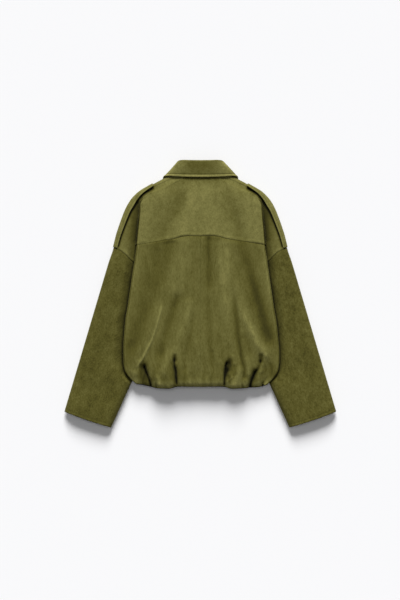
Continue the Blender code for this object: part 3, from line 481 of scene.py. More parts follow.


# soft dips and swells on the yoke, with painted shade in the dips and painted light on the swells
YOKE_SOFT = [
    Mark([(181, 195), (177, 206), (171, 217), (165, 230), (161, 240)], 32, 15, -1.6, -0.24, 0, 0),
    Mark([(182, 198), (179, 211)], 12, 9, -0.4, -0.10, 0, 0),
    Mark([(228, 194), (231, 206), (235, 218), (239, 230), (242, 241)], 18, 15, -1.6, -0.25, 0, 0),
    Mark([(238, 217), (240, 229)], 8, 8, -0.4, -0.09, 0, 0),
    Mark([(192, 192), (190, 208), (185, 224), (182, 237)], 14, 18, 1.0, 0.13, 0, 0),
    Mark([(183, 229), (181, 234)], 7, 7, 0.2, 0.08, 0, 0),
    Mark([(206, 196), (208, 214), (210, 232)], 18, 18, 1.0, 0.09, 0, 0),
    Mark([(143, 203), (144, 220), (143, 240)], 12, 14, 0.8, 0.11, 0, 0),
    Mark([(257, 203), (257, 220), (259, 240)], 14, 10, 0.8, 0.11, 0, 0),
    Mark([(247, 200), (250, 236)], 9, 9, 0.4, 0.07, 0, 0),
    Mark([(176, 183), (172, 190)], 12, 12, -0.3, -0.05, 0, 0),
    Mark([(190, 180), (216, 180)], 7, 7, -0.4, -0.06, 0, 0),
    Mark([(164, 184), (150, 195)], 12, 12, 0.0, -0.07, 0, 0),
    Mark([(237, 184), (250, 195)], 12, 12, 0.0, -0.07, 0, 0),
]


# on the fronts, which lie underneath: the same kind of uneven creases, drawn on the plan in
# millimetres, lifting off what they lie on, their tone painted shade and light along them
FRONT_FOLDS = [
    Mark([(150, 60), (122, 10), (104, -60), (96, -130)], 15, 20, 3.6, -0.16, 0.2, 0.3),
    Mark([(165, -40), (140, -110), (128, -190), (126, -236)], 13, 15, 3.2, -0.18, 0.3, 0.1),
    Mark([(84, 40), (72, -20), (66, -90)], 14, 12, 2.2, -0.10, 0.3, 0.5),
    Mark([(62, -120), (58, -180), (60, -240)], 10, 12, 2.6, -0.14, 0.4, 0.0),
    Mark([(92, -170), (94, -205), (92, -244)], 8, 9, 2.4, -0.15, 0.5, 0.0),
    Mark([(148, -150), (152, -190), (146, -232)], 8, 10, 2.2, -0.12, 0.4, 0.0),
    Mark([(70, 210), (92, 160), (112, 96), (118, 40)], 16, 14, 2.6, -0.10, 0.3, 0.4),
    Mark([(110, 220), (128, 180), (140, 130)], 10, 12, 1.8, -0.10, 0.3, 0.4),
    Mark([(48, 150), (56, 90), (54, 30)], 12, 14, 1.4, 0.06, 0.4, 0.4),
]


def front_marks(X, Y, side):
    dz, tone = np.zeros(X.shape), np.zeros(X.shape)
    sway = 1.0 if side > 0 else 0.8
    for i, m in enumerate(FRONT_FOLDS):
        # the two sides are alike but not mirrored
        shift = 7.0 * math.sin(2.1 * i + (0 if side > 0 else 1.7))
        line = [(x + shift, y + 1.5 * shift) for x, y in m.line]
        d, share, _ = to_line(np.abs(X), Y, rounded(line, 4))
        a = np.exp(-(d / np.where(d > 0, m.right, m.left)) ** 2)
        if m.head:
            a = a * smooth(share / m.head)
        if m.tail:
            a = a * smooth((1 - share) / m.tail)
        dz += sway * m.height * a
        tone += sway * 2.2 * m.tone * a
    # a ripple near the hem, with painted shade following it
    low = smooth((-195 - Y) / 45)
    ripple = waves(X, 31 + side, (19.0, 27.0, 43.0), (0.4, 0.5, 0.6))
    dz += low * (0.9 + ripple * 0.7)
    tone += low * -0.02 * ripple
    return np.maximum(dz, 0), tone


def yoke_marks(X, Y):
    dz, tone = np.zeros(X.shape), np.zeros(X.shape)
    for m in YOKE_SOFT:
        a = mark_profile(m, X, Y, False)
        dz += m.height * a
        tone += m.tone * a
    return dz, tone


# =======================================================================================
# sections, a row of points each
# =======================================================================================
def top_z(x, y, from_fold, roll=30.0):
    """Top layer of drop shoulder and sleeve: it dips beside the body edge."""
    d = np.abs(x) - edge_x(y)
    base = Z_UPPER - 1.4 * smooth((d + 6) / 6) + 8.0 * smooth((d - 3.5) / 19.0) + 1.0 * smooth((d - 20) / 40)
    t = np.minimum(1.0, from_fold / roll)
    return Z_SIDE + (base - Z_SIDE) * np.sqrt(np.maximum(0.0, 1 - (1 - t) ** 2))


def covered(x, y, shift=0.0):
    return 1.0 - smooth((np.abs(x) - edge_x(y) - shift) / 30.0)


def lower_z(x, y, from_fold, roll=45.0):
    base = lerp(Z_FLOOR, Z_LOWER, covered(x, y, 8.0))
    t = np.minimum(1.0, from_fold / roll)
    return base + (Z_SIDE - base) * (1 - t) ** 1.6


def fold_path(start, end, z0, z1, n_arc, n_mid):
    """An S in the cloth from (start, z0) to (end, z1).  With end inside start the cloth
    doubles back as a pleat; with end outside it is only a step."""
    S, L, h = end[0] - start[0], end[1] - start[1], z0 - z1
    sgn = 1.0 if h >= 0 else -1.0
    h = abs(h)
    r = h / 4
    T = abs(S)
    theta = math.pi if S < 0 else 2 * math.atan2(h, 2 * T)
    s, z = [], []
    for j in range(n_arc + 1):
        a = theta * j / n_arc
        s.append(r * math.sin(a)); z.append(r * (1 - math.cos(a)))
    s1, z1_ = s[-1], z[-1]
    c, sn = (-1.0, 0.0) if S < 0 else (math.cos(theta), math.sin(theta))
    for j in range(1, n_mid):
        s.append(s1 + c * T * j / n_mid); z.append(z1_ + sn * T * j / n_mid)
    for j in range(n_arc + 1):
        a = theta * (1 - j / n_arc)
        s.append(S - r * math.sin(a)); z.append(h - r * (1 - math.cos(a)))
    s, z = np.array(s), np.array(z)
    step = np.concatenate([[0], np.cumsum(np.hypot(np.diff(s), np.diff(z)))])
    f = step / max(1e-9, step[-1])
    f = smooth(f) * 0.5 + f * 0.5
    return np.stack([start[0] + s, start[1] + L * f, z0 - sgn * z], 1)


def yoke_row(k, n_main=66, n_arc=8, n_inner=12, n_out=58):
    q = row_at(YOKE, k)
    share = k / (len(YOKE) - 1)
    bow = float(smooth(share))
    t = np.arange(n_main) / n_main
    drop = lerp(t * t, bow_at(t), bow)
    main = np.stack([q.wrap_x * t, lerp(q.centre, q.wrap_y, drop), q.edge + (q.crown - q.edge) * (1 - t ** 2.2)], 1)
    fold = fold_path((q.wrap_x, q.wrap_y), (q.crease_x, q.crease_y), q.edge, q.upper, n_arc, n_inner)
    wx, wy = shoulder_at(share)
    bx, by = q.crease_x, q.crease_y
    length = math.hypot(wx - bx, wy - by)
    curved = float(smooth((share - 0.45) / 0.55))
    u = np.arange(1, n_out + 1) / n_out
    t = 0.55 * u + 0.45 * np.sin(0.5 * math.pi * u)
    x, y = lerp(bx, wx, t), lerp(by, wy, t)
    y = y + curved * (hole_at(t) - lerp(ARMHOLE[0].y, ARMHOLE[-1].y, t))
    roll = min(30.0, 0.9 * length)
    free = top_z(x, y, (1 - t) * length, roll)
    w = np.minimum(1.0, (1 - t) * length / roll)
    near_neck = Z_SIDE + (q.upper - Z_SIDE) * np.sqrt(np.maximum(0.0, 1 - (1 - w) ** 2))
    free = lerp(near_neck, free, float(smooth((k - 3.0) / 1.6)))
    # settle from the crease's own height
    free = lerp(q.upper, free, smooth(t * length / 9.0)) if k >= 3 else free
    out = np.stack([x, y, np.maximum(free, Z_SIDE + 0.6 * w)], 1)
    return np.concatenate([main, fold, out]), len(main)


def back_row(k, n_main=112, n_arc=12, n_inner=14):
    q = row_at(BACK, k)
    share = k / (len(BACK) - 1)
    bow = 1 - float(smooth(share * 2.2))
    r = (q.edge - q.inner) / 2
    wrap_x = float(edge_x(q.wrap_y)) - r - CLOTH / 2
    t = np.arange(n_main) / n_main
    drop = lerp(t ** 3, bow_at(t), bow)
    x = SEAM / 2 + (wrap_x - SEAM / 2) * t
    y = lerp(q.centre, q.wrap_y, drop)
    y = y + float(smooth((k - 9.0) / 5.0)) * dip_at(x)
    z = q.edge + (q.crown - q.edge) * (1 - t ** 3.0)
    main = np.stack([x, y, z], 1)
    a = np.pi * np.arange(n_arc + 1) / n_arc
    arc = np.stack([wrap_x + r * np.sin(a), np.full(len(a), q.wrap_y), q.edge - r * (1 - np.cos(a))], 1)
    rs = q.inner - (Z_SEAM + 0.35)
    sx = q.side_x + rs
    u = np.arange(1, n_inner) / n_inner
    mid = np.stack([lerp(wrap_x, sx, u), lerp(q.wrap_y, q.side_y, u), np.full(len(u), q.inner)], 1)
    a = 0.5 * np.pi * np.arange(7) / 6
    end = np.stack([sx - rs * np.sin(a), np.full(len(a), q.side_y), q.inner - rs * (1 - np.cos(a))], 1)
    return np.concatenate([main, arc, mid, end]), len(main), t


def front_lift(x, y):
    return 3.4 * smooth((y - 172) / 30) * smooth((150 - np.abs(x)) / 30)


def placket_lift(x, outer):
    if outer:
        return 3.3 * (1 - smooth((x - 20) / 26))
    return 6.3 * (1 - smooth((x - 20) / 40))


def front_main(centre, wrap_x, wrap_y, main, outer, n_main, power, blend):
    t = np.arange(n_main) / n_main
    x = lerp(-PLACKET, wrap_x, t)
    y = lerp(centre, wrap_y, lerp(t * t, t ** power, blend))
    z = np.maximum(main, Z_FLOOR + front_lift(x, y)) + placket_lift(x, outer)
    return np.stack([x, y, z], 1)


def front_top_row(k, outer, n_main=44, n_arc=6, n_inner=8, n_out=34):
    q = row_at(FRONT_TOP, k)
    share = k / (len(FRONT_TOP) - 1)
    neck = 1 - float(smooth(share * 3))
    main = front_main(q.centre, q.wrap_x, q.wrap_y, q.main, outer, n_main, 2.6, neck)
    z0 = max(q.main, Z_FLOOR + float(front_lift(q.wrap_x, q.wrap_y)))
    z1 = max(q.lower, z0 + 0.8)
    fold = fold_path((q.wrap_x, q.wrap_y), (q.crease_x, q.crease_y), z0, z1, n_arc, n_inner)
    wx, wy = shoulder_at(share)
    bx, by = q.crease_x, q.crease_y
    length = math.hypot(wx - bx, wy - by)
    curved = float(smooth((share - 0.45) / 0.55))
    u = np.arange(1, n_out + 1) / n_out
    t = 0.55 * u + 0.45 * np.sin(0.5 * math.pi * u)
    x, y = lerp(bx, wx, t), lerp(by, wy, t)
    y = y + curved * (hole_at(t) - lerp(ARMHOLE[0].y, ARMHOLE[-1].y, t))
    near = lerp(z1, Z_SIDE, smooth(t))
    far = np.maximum(lower_z(x, y, (1 - t) * length), lerp(z1, Z_FLOOR, smooth(t * 3)))
    z = lerp(near, far, float(smooth((k - 3.2) / 1.2)))
    if k < 1:
        x = x + 4.0 * (1 - k) * np.sin(np.pi * t)
    return np.concatenate([main, fold, np.stack([x, y, z], 1)])


def front_low_row(k, outer, n_main=44, n_arc=6, n_inner=8):
    q = row_at(FRONT_LOW, k)
    r = (q.inner - q.main) / 2
    wrap_x = float(edge_x(q.wrap_y)) - 9.0 - r - CLOTH / 2
    if k < 1:
        wrap_x = lerp(162.0, wrap_x, float(smooth(k)))
    share = k / (len(FRONT_LOW) - 1)
    main = front_main(q.centre, wrap_x, q.wrap_y, q.main, outer, n_main, 1.0, share)
    a = np.pi * np.arange(n_arc + 1) / n_arc
    arc = np.stack([wrap_x + r * np.sin(a), np.full(len(a), q.wrap_y), q.main + r * (1 - np.cos(a))], 1)
    rs = (Z_SEAM - 0.35) - q.inner
    sx = q.side_x + rs
    u = np.arange(1, n_inner) / n_inner
    mid = np.stack([lerp(wrap_x, sx, u), lerp(q.wrap_y, q.side_y, u), np.full(len(u), q.inner)], 1)
    a = 0.5 * np.pi * np.arange(5) / 4
    end = np.stack([sx - rs * np.sin(a), np.full(len(a), q.side_y), q.inner + rs * (1 - np.cos(a))], 1)
    return np.concatenate([main, arc, mid, end])


def sleeve_ring(v, n=62):
    """A ring of the sleeve: v = 0 at the armhole, 1 at the cuff.  Starts at the outer fold,
    runs in over the top to the underarm seam and back out along the underside."""
    s_out = SHOULDER[-1]
    ox, oy = lerp(s_out.out, CUFF_OUT[0], v), lerp(s_out.y - 1.6 * SEAM, CUFF_OUT[1], v)
    ox += SLEEVE_FULL * float(smooth(v / 0.1))
    ix, iy = lerp(55.5, CUFF_IN[0], v), lerp(50 - 2 * SEAM, CUFF_IN[1], v)
    width = math.hypot(ix - ox, iy - oy)
    curved = 1 - float(smooth(v / 0.22))
    slack = float(smooth((v - 0.80) / 0.2))
    u = np.arange(n + 1) / n
    t = lerp(0.5 - 0.5 * np.cos(np.pi * u), u, 0.45)
    x, y = lerp(ox, ix, t), lerp(oy, iy, t)
    y = y + curved * (hole_at(1 - t) - lerp(ARMHOLE[-1].y, ARMHOLE[0].y, t))
    y = y - slack * 2.0 * np.sin(np.pi * t)
    d_out, d_in = t * width, (1 - t) * width
    zt, zb = top_z(x, y, d_out), lower_z(x, y, d_out)
    c_in = float(covered(ix, iy, 2.0))
    mid = 0.5 * (lerp(Z_UPPER_FREE, Z_UPPER, c_in) + lerp(Z_FLOOR, Z_LOWER, float(covered(ix, iy, 8.0))))
    roll = lerp(20.0, 9.0, float(covered(ix, iy, 0.0)))
    e = np.minimum(1.0, d_in / roll)
    rise = np.sqrt(np.maximum(0.0, 1 - (1 - e) ** 2))
    top = np.stack([x, y, lerp(mid, zt, rise)], 1)
    low = np.stack([x, y, lerp(mid, zb, rise)], 1)
    return np.concatenate([top, low[-2:0:-1]])


# ---- collar ---------------------------------------------------------------------------
_neck_back = yoke_row(0)[0]
_neck_front = front_top_row(0, True)[::-1]
_neck_front = _neck_front[_neck_front[:, 0] > -1]


def along(line, t):
    run = np.concatenate([[0], np.cumsum(np.linalg.norm(np.diff(line, axis=0), axis=1))])
    return np.array([np.interp(t * run[-1], run, line[:, c]) for c in range(3)])


def neck_seam(u):
    if u <= 0.5:
        return along(_neck_back, u / 0.5)
    return along(_neck_front, (u - 0.5) / 0.5)


def collar_frame(k):
    q = row_at(COLLAR, k)
    a = math.radians(q.face)
    roll = Vector((q.roll_x, q.roll_y, q.roll_z))
    edge = Vector((q.edge_x, q.edge_y, q.edge_z))
    fall = edge - roll
    fall.normalize()
    flat = Vector((fall.y, -fall.x, 0))
    flat.normalize()
    if flat.x < 0:
        flat = -flat
    face = flat * math.cos(a) + Vector((0, 0, 1)) * math.sin(a)
    up = -(fall - face * fall.dot(face))
    up.normalize()
    return q, roll, edge, up, face


def fall_row(k, n_arc=10, n_fall=30):
    q, roll, edge, up, face = collar_frame(k)
    pts = [roll - face * ROLL_R - up * 3.0]
    for j in range(n_arc + 1):
        a = math.pi * j / n_arc
        pts.append(roll - face * ROLL_R * math.cos(a) + up * ROLL_R * math.sin(a))
    start = roll + face * ROLL_R
    length = (edge - start).length
    for j in range(1, n_fall + 1):
        t = j / n_fall
        t = 1 - (1 - t) ** 1.15
        p = start.lerp(edge, t)
        d = (1 - t) * length                      # distance up from the free edge
        puff = 1.2 * max(0.0, face.z) * math.sin(math.pi * t)
        rim = 0.55 * math.exp(-((d - 2.6) / 2.4) ** 2) - 0.60 * math.exp(-((d - 6.6) / 1.3) ** 2)
        pts.append(p + face * (puff + rim))
    return np.array([tuple(p) for p in pts])


def stand_row(k, n=8):
    q, roll, edge, up, face = collar_frame(k)
    top = roll - face * ROLL_R - up * 4.6
    base = Vector(neck_seam(q.seam))
    step = (top - base).normalized()
    base = base + step * (SEAM + 0.55)
    return np.array([tuple(base.lerp(top, j / n)) for j in range(n + 1)])


# =======================================================================================
# meshes
# =======================================================================================
def grid_normals(P, ring=False):
    if ring:
        across = np.roll(P, -1, 1) - np.roll(P, 1, 1)
    else:
        across = np.gradient(P, axis=1)
    down = np.gradient(P, axis=0)
    n = np.cross(across, down)
    size = np.linalg.norm(n, axis=2, keepdims=True)
    n = n / np.maximum(size, 1e-9)
    return n


def flat_coords(P, centre=0):
    """Where each point lies on the flat cut, in metres: across and down."""
    U = np.concatenate([np.zeros((P.shape[0], 1)), np.cumsum(np.linalg.norm(np.diff(P, axis=1), axis=2), 1)], 1)
    U = U - U[:, centre:centre + 1]
    V = np.concatenate([np.zeros((1, P.shape[1])), np.cumsum(np.linalg.norm(np.diff(P, axis=0), axis=2), 0)], 0)
    return U * MM, V * MM


def nap_coords(P, turn=0.0):
    """Where the nap's pattern is looked up, in metres: the plan, turned to run with the piece."""
    x, y = (P[..., 0] + 0.6 * P[..., 2]) * MM, (P[..., 1] + 0.6 * P[..., 2]) * MM
    c, s_ = math.cos(turn), math.sin(turn)
    return c * x - s_ * y, s_ * x + c * y


def cloth_area(P, ring=False):
    Q = np.concatenate([P, P[:, :1]], 1) if ring else P
    a, b, c, d = Q[:-1, :-1], Q[:-1, 1:], Q[1:, 1:], Q[1:, :-1]
    return (np.linalg.norm(np.cross(b - a, c - a), axis=2).sum()
            + np.linalg.norm(np.cross(c - a, d - a), axis=2).sum()) / 2 * 1e-6


PIECES = []


def wall(name, P, N, D, tone, U, V, mat, ring=False, thick=CLOTH, node=None, seed=0.0, keep=None):
    """A cloth wall: both faces of the grid P, a rounded rim where it ends, all moved by D."""
    R, C = P.shape[:2]
    if D is None:
        D = np.zeros(P.shape)
    h = thick / 2
    faces_a, faces_b = P + N * h + D, P - N * h + D
    verts = [faces_a.reshape(-1, 3), faces_b.reshape(-1, 3)]
    tones = [tone.ravel(), tone.ravel()]
    flats = [np.stack([U.ravel(), V.ravel(), np.full(R * C, seed)], 1)] * 2
    idx = np.arange(R * C).reshape(R, C)
    use = np.ones((R - 1, C if ring else C - 1), bool) if keep is None else keep
    i, j = np.nonzero(use)
    j2 = (j + 1) % C
    quad = np.stack([idx[i, j], idx[i + 1, j], idx[i + 1, j2], idx[i, j2]], 1)
    # the normal was taken as across x down, so this order faces along it when reversed
    faces = [quad[:, ::-1], quad + R * C]
    # rim: boundary edges of the quads, each used once
    e = np.concatenate([quad[:, [0, 1]], quad[:, [1, 2]], quad[:, [2, 3]], quad[:, [3, 0]]])
    key = np.sort(e, 1)
    order = np.lexsort((key[:, 1], key[:, 0]))
    ks = key[order]
    same = np.zeros(len(ks), bool)
    same[1:] |= (ks[1:] == ks[:-1]).all(1)
    same[:-1] |= (ks[1:] == ks[:-1]).all(1)
    rim = e[order[~same]]
    rim_v = np.unique(rim)
    # outward tangent at each rim vertex: away from the middle of its neighbours
    centre = np.zeros((R * C, 3))
    count = np.zeros(R * C)
    Pf = P.reshape(-1, 3)
    mid = Pf[quad].mean(1)
    for c in range(4):
        np.add.at(centre, quad[:, c], mid)
        np.add.at(count, quad[:, c], 1)
    out = Pf[rim_v] - centre[rim_v] / np.maximum(count[rim_v], 1)[:, None]
    Nf = N.reshape(-1, 3)[rim_v]
    out = out - Nf * (out * Nf).sum(1, keepdims=True)
    out = out / np.maximum(np.linalg.norm(out, axis=1, keepdims=True), 1e-9)
    Df = D.reshape(-1, 3)[rim_v]
    base = 2 * R * C
    r1 = Pf[rim_v] + Df + out * 0.42 * h + Nf * 0.62 * h
    r2 = Pf[rim_v] + Df + out * 0.60 * h
    r3 = Pf[rim_v] + Df + out * 0.42 * h - Nf * 0.62 * h
    m = len(rim_v)
    verts += [r1, r2, r3]
    tones += [tone.ravel()[rim_v]] * 3
    flats += [flats[0][rim_v]] * 3
    at_ = np.full(R * C, -1)
    at_[rim_v] = np.arange(m)
    a, b = rim[:, 0], rim[:, 1]
    ra, rb = at_[a], at_[b]
    # quads from the outer face, over the rim, to the inner face
    faces.append(np.stack([a, b, base + rb, base + ra], 1))
    faces.append(np.stack([base + ra, base + rb, base + m + rb, base + m + ra], 1))
    faces.append(np.stack([base + m + ra, base + m + rb, base + 2 * m + rb, base + 2 * m + ra], 1))
    faces.append(np.stack([base + 2 * m + ra, base + 2 * m + rb, b + R * C, a + R * C], 1))
    verts, faces = np.concatenate(verts), np.concatenate(faces)
    verts[:, 2] = np.maximum(verts[:, 2], 0.12)
    tones, flats = np.concatenate(tones), np.concatenate(flats)
    used = np.unique(faces)
    new = np.full(len(verts), -1)
    new[used] = np.arange(len(used))
    verts, faces, tones, flats = verts[used], new[faces], tones[used], flats[used]
    return add_mesh(name, verts, faces, mat, tones, flats, node)


def add_mesh(name, verts, faces, mat, tones=None, flats=None, node=None):
    mesh = bpy.data.meshes.new(name)
    mesh.from_pydata((np.asarray(verts) * MM).tolist(), [], [list(map(int, f)) for f in faces])
    mesh.update()
    n = len(mesh.vertices)
    att = mesh.attributes.new("tone", "FLOAT", "POINT")
    att.data.foreach_set("value", np.asarray(tones if tones is not None else np.ones(n), np.float32))
    att = mesh.attributes.new("cloth", "FLOAT_VECTOR", "POINT")
    if flats is None:
        flats = np.asarray(verts) * MM
    att.data.foreach_set("vector", np.asarray(flats, np.float32).ravel())
    mesh.shade_smooth()
    ob = bpy.data.objects.new(name, mesh)
    bpy.context.scene.collection.objects.link(ob)
    mesh.materials.append(mat)
    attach(ob, "root")
    if node:
        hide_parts(*([node] if isinstance(node, str) else node))
    PIECES.append(ob)
    return ob


def flip(P):
    Q = P.copy()
    Q[..., 0] *= -1
    return Q


# =======================================================================================
# materials
# =======================================================================================
def suede(name, color, contrast=1.0, sheen=0.18, stretch=0.75):
    """Brushed nap: soft patches drawn out along the cloth, a fine grain, and a velvety edge."""
    m = bpy.data.materials.new(name)
    m.use_nodes = True
    nt = m.node_tree
    nodes, link = nt.nodes, nt.links.new
    b = nodes["Principled BSDF"]
    b.inputs["Roughness"].default_value = 0.92
    b.inputs["Specular IOR Level"].default_value = 0.06
    b.inputs["Sheen Weight"].default_value = sheen
    b.inputs["Sheen Roughness"].default_value = 0.42
    b.inputs["Sheen Tint"].default_value = (0.62, 0.60, 0.30, 1)

    cloth = nodes.new("ShaderNodeAttribute")
    cloth.attribute_name = "cloth"
    tone = nodes.new("ShaderNodeAttribute")
    tone.attribute_name = "tone"

    def noise(scale, stretch, detail, rough, distortion=0.0, shift=0.0):
        mp = nodes.new("ShaderNodeMapping")
        mp.inputs["Scale"].default_value = (scale, scale * stretch, 7.3)
        mp.inputs["Location"].default_value = (shift, shift * 1.7, shift)
        link(cloth.outputs["Vector"], mp.inputs["Vector"])
        n = nodes.new("ShaderNodeTexNoise")
        n.inputs["Scale"].default_value = 1.0
        n.inputs["Detail"].default_value = detail
        n.inputs["Roughness"].default_value = rough
        n.inputs["Distortion"].default_value = distortion
        link(mp.outputs["Vector"], n.inputs["Vector"])
        return n.outputs["Fac"]

    def math_(op, a, c, clamp=False):
        n = nodes.new("ShaderNodeMath")
        n.operation = op
        n.use_clamp = clamp
        for i, v in enumerate((a, c)):
            if isinstance(v, (int, float)):
                n.inputs[i].default_value = v
            else:
                link(v, n.inputs[i])
        return n.outputs[0]

    big = noise(24.0, stretch, 3.0, 0.55, 0.5)
    mid = noise(85.0, stretch, 3.0, 0.6, 0.3, 3.1)
    fine = noise(330.0, stretch, 2.0, 0.6, 0.0, 7.7)
    hair = noise(1500.0, 0.35, 2.0, 0.5, 0.0, 1.3)

    # value = 1 + sum of weighted noises
    v = math_("MULTIPLY", math_("SUBTRACT", big, 0.5), 0.45 * contrast)
    v = math_("ADD", v, math_("MULTIPLY", math_("SUBTRACT", mid, 0.5), 0.68 * contrast))
    v = math_("ADD", v, math_("MULTIPLY", math_("SUBTRACT", fine, 0.5), 0.85 * contrast))
    v = math_("ADD", v, math_("MULTIPLY", math_("SUBTRACT", hair, 0.5), 0.50 * contrast))
    v = math_("ADD", v, 1.0)
    # times the tone attribute, which carries the painted shade and painted light of folds, creases, seams and edges
    v = math_("MULTIPLY", v, tone.outputs["Fac"])
    v = math_("MAXIMUM", v, 0.02)

    # darker colour, from the nap and from painted shade, is a little greener, lighter colour a little yellower
    ramp = nodes.new("ShaderNodeValToRGB")
    cr = ramp.color_ramp
    cr.elements[0].position, cr.elements[1].position = 0.0, 1.0
    r, g, bl = color
    cr.elements[0].color = (0.0, 0.0, 0.0, 1)
    cr.elements[1].color = (r * 2.0 * 1.02, g * 2.0 * 0.995, bl * 2.0 * 1.10, 1)
    e = cr.elements.new(0.5)
    e.color = (r, g, bl, 1)
    e = cr.elements.new(0.25)
    e.color = (r * 0.5 * 1.02, g * 0.5 * 0.985, bl * 0.5 * 0.66, 1)
    half = math_("MULTIPLY", v, 0.5)
    link(half, ramp.inputs["Fac"])
    link(ramp.outputs["Color"], b.inputs["Base Color"])

    bump = nodes.new("ShaderNodeBump")
    bump.inputs["Strength"].default_value = 0.35
    bump.inputs["Distance"].default_value = 0.0009
    hsum = math_("ADD", math_("MULTIPLY", fine, 0.7), math_("MULTIPLY", hair, 0.5))
    hsum = math_("ADD", hsum, math_("MULTIPLY", mid, 0.8))
    link(hsum, bump.inputs["Height"])
    link(bump.outputs["Normal"], b.inputs["Normal"])
    return m


def horn(name):
    m = bpy.data.materials.new(name)
    m.use_nodes = True
    nodes, link = m.node_tree.nodes, m.node_tree.links.new
    b = nodes["Principled BSDF"]
    b.inputs["Roughness"].default_value = 0.38
    co = nodes.new("ShaderNodeTexCoord")
    w = nodes.new("ShaderNodeTexNoise")
    w.inputs["Scale"].default_value = 160.0
    w.inputs["Detail"].default_value = 3.0
    w.inputs["Distortion"].default_value = 1.5
    link(co.outputs["Object"], w.inputs["Vector"])
    ramp = nodes.new("ShaderNodeValToRGB")
    ramp.color_ramp.elements[0].color = (0.030, 0.022, 0.010, 1)
    ramp.color_ramp.elements[1].color = (0.105, 0.078, 0.036, 1)
    ramp.color_ramp.elements[0].position = 0.35
    ramp.color_ramp.elements[1].position = 0.68
    link(w.outputs["Fac"], ramp.inputs["Fac"])
    link(ramp.outputs["Color"], b.inputs["Base Color"])
    return m


OLIVE = (0.158, 0.148, 0.0445)
SUEDE = suede("suede_nap", OLIVE)
SUEDE_BACK = suede("suede_back", OLIVE, 1.0, 0.18, 0.35)
SUEDE_SLEEVE = suede("suede_sleeve", OLIVE, 1.55, 0.18, 0.6)
THREAD = suede("thread", (0.080, 0.074, 0.022), 0.5, 0.1)
HORN = horn("horn_button")

# how light each piece's colour is as a whole: shaded copies of one cloth, painted shade deepest on the sleeves and the
# lower back
TONE_YOKE, TONE_BACK, TONE_SLEEVE, TONE_COLLAR, TONE_TAB, TONE_FRONT = 0.935, 0.70, 0.54, 0.74, 0.92, 0.82

SHEETS = []


def declare(ob, P, ring=False):
    """The cut of what shows: the cloth's own flat size, measured on its middle surface."""
    U = np.linalg.norm(np.diff(np.concatenate([P, P[:, :1]], 1) if ring else P, axis=1), axis=2).sum(1)
    V = np.linalg.norm(np.diff(P, axis=0), axis=2).sum(0)
    w, l, area = float(U.max()) * MM, float(V.max()) * MM, cloth_area(P, ring)
    area = min(area, w * l)
    SHEETS.append((ob.name, w, l, area))


# =======================================================================================
# stitching
# =======================================================================================
def iso_line(A, N, F, level, i0=0, i1=None):
    """Where a field F crosses a level in each row of a grid: places and normals."""
    pts, nor = [], []
    for i in range(i0, A.shape[0] if i1 is None else i1):
        f = F[i] - level
        j = np.nonzero((f[:-1] <= 0) != (f[1:] <= 0))[0]
        if len(j) == 0:
            continue
        j = j[0]
        t = f[j] / (f[j] - f[j + 1])
        pts.append(lerp(A[i, j], A[i, j + 1], t))
        n = lerp(N[i, j], N[i, j + 1], t)
        nor.append(n / max(1e-9, np.linalg.norm(n)))
    return np.array(pts), np.array(nor)


def stitches(name, paths, pitch=3.1, length=2.35, width=0.56, proud=0.10):
    """A row of thread stitches along each path of places and normals on a cloth face."""
    verts, faces = [], []
    ring = np.array([(math.cos(a), math.sin(a)) for a in (0.25 * math.pi, 0.75 * math.pi, 1.25 * math.pi, 1.75 * math.pi)])
    stations = ((-0.5, 0.0), (-0.34, 0.85), (0.0, 1.0), (0.34, 0.85), (0.5, 0.0))
    base = 0
    for pts, nor in paths:
        if len(pts) < 2:
            continue
        run = np.concatenate([[0], np.cumsum(np.linalg.norm(np.diff(pts, axis=0), axis=1))])
        n = int(run[-1] / pitch)
        if n < 1:
            continue
        mids = (np.arange(n) + 0.5) * run[-1] / n
        at_run = lambda q, v: np.stack([np.interp(q, run, v[:, c]) for c in range(3)], 1)
        P0 = at_run(mids, pts)
        T = at_run(np.minimum(mids + 0.8, run[-1]), pts) - at_run(np.maximum(mids - 0.8, 0), pts)
        T = T / np.maximum(np.linalg.norm(T, axis=1, keepdims=True), 1e-9)
        M = at_run(mids, nor)
        M = M - T * (M * T).sum(1, keepdims=True)
        M = M / np.maximum(np.linalg.norm(M, axis=1, keepdims=True), 1e-9)
        B = np.cross(T, M)
        cols = []
        for s_, r in stations:
            c = P0 + T * s_ * length + M * (proud - 0.28 * (2 * s_) ** 2)
            if r == 0.0:
                cols.append(c[:, None])
            else:
                cols.append(c[:, None] + (B[:, None] * ring[None, :, :1] + M[:, None] * ring[None, :, 1:] * 0.7)
                            * 0.5 * width * r)
        V = np.concatenate(cols, 1)                      # 1 + 4 + 4 + 4 + 1 points a stitch
        m = V.shape[1]
        one = []
        for j in range(4):
            q = (j + 1) % 4
            one.append((0, 1 + q, 1 + j))
            one += [(1 + j, 1 + q, 5 + q), (1 + j, 5 + q, 5 + j), (5 + j, 5 + q, 9 + q), (5 + j, 9 + q, 9 + j)]
            one.append((9 + j, 9 + q, 13))
        one = np.array(one)
        faces.append((one[None] + (base + m * np.arange(len(V)))[:, None, None]).reshape(-1, 3))
        verts.append(V.reshape(-1, 3))
        base += m * len(V)
    verts = np.concatenate(verts)
    verts[:, 2] = np.maximum(verts[:, 2], 0.05)
    return add_mesh(name, verts, np.concatenate(faces), THREAD)


# =======================================================================================
# the pieces
# =======================================================================================
def even_rows(make, k0, k1, step, column):
    """Row numbers from k0 to k1, about step apart where the given column runs."""
    ks = np.linspace(k0, k1, 241)
    line = np.array([make(k)[column] for k in ks])
    run = np.concatenate([[0], np.cumsum(np.linalg.norm(np.diff(line, axis=0), axis=1))])
    n = max(2, int(round(run[-1] / step)))
    return np.interp(np.linspace(0, run[-1], n + 1), run, ks)


def crevice(d, wide, deep):
    """Painted shade on the cloth beside the body edge, where it goes in underneath."""
    d = np.maximum(d, 0)
    f = (1 - deep * np.exp(-(d / 4.2) ** 2)) * (1 - 0.70 * np.exp(-(d / wide) ** 1.8))
    return f - 1


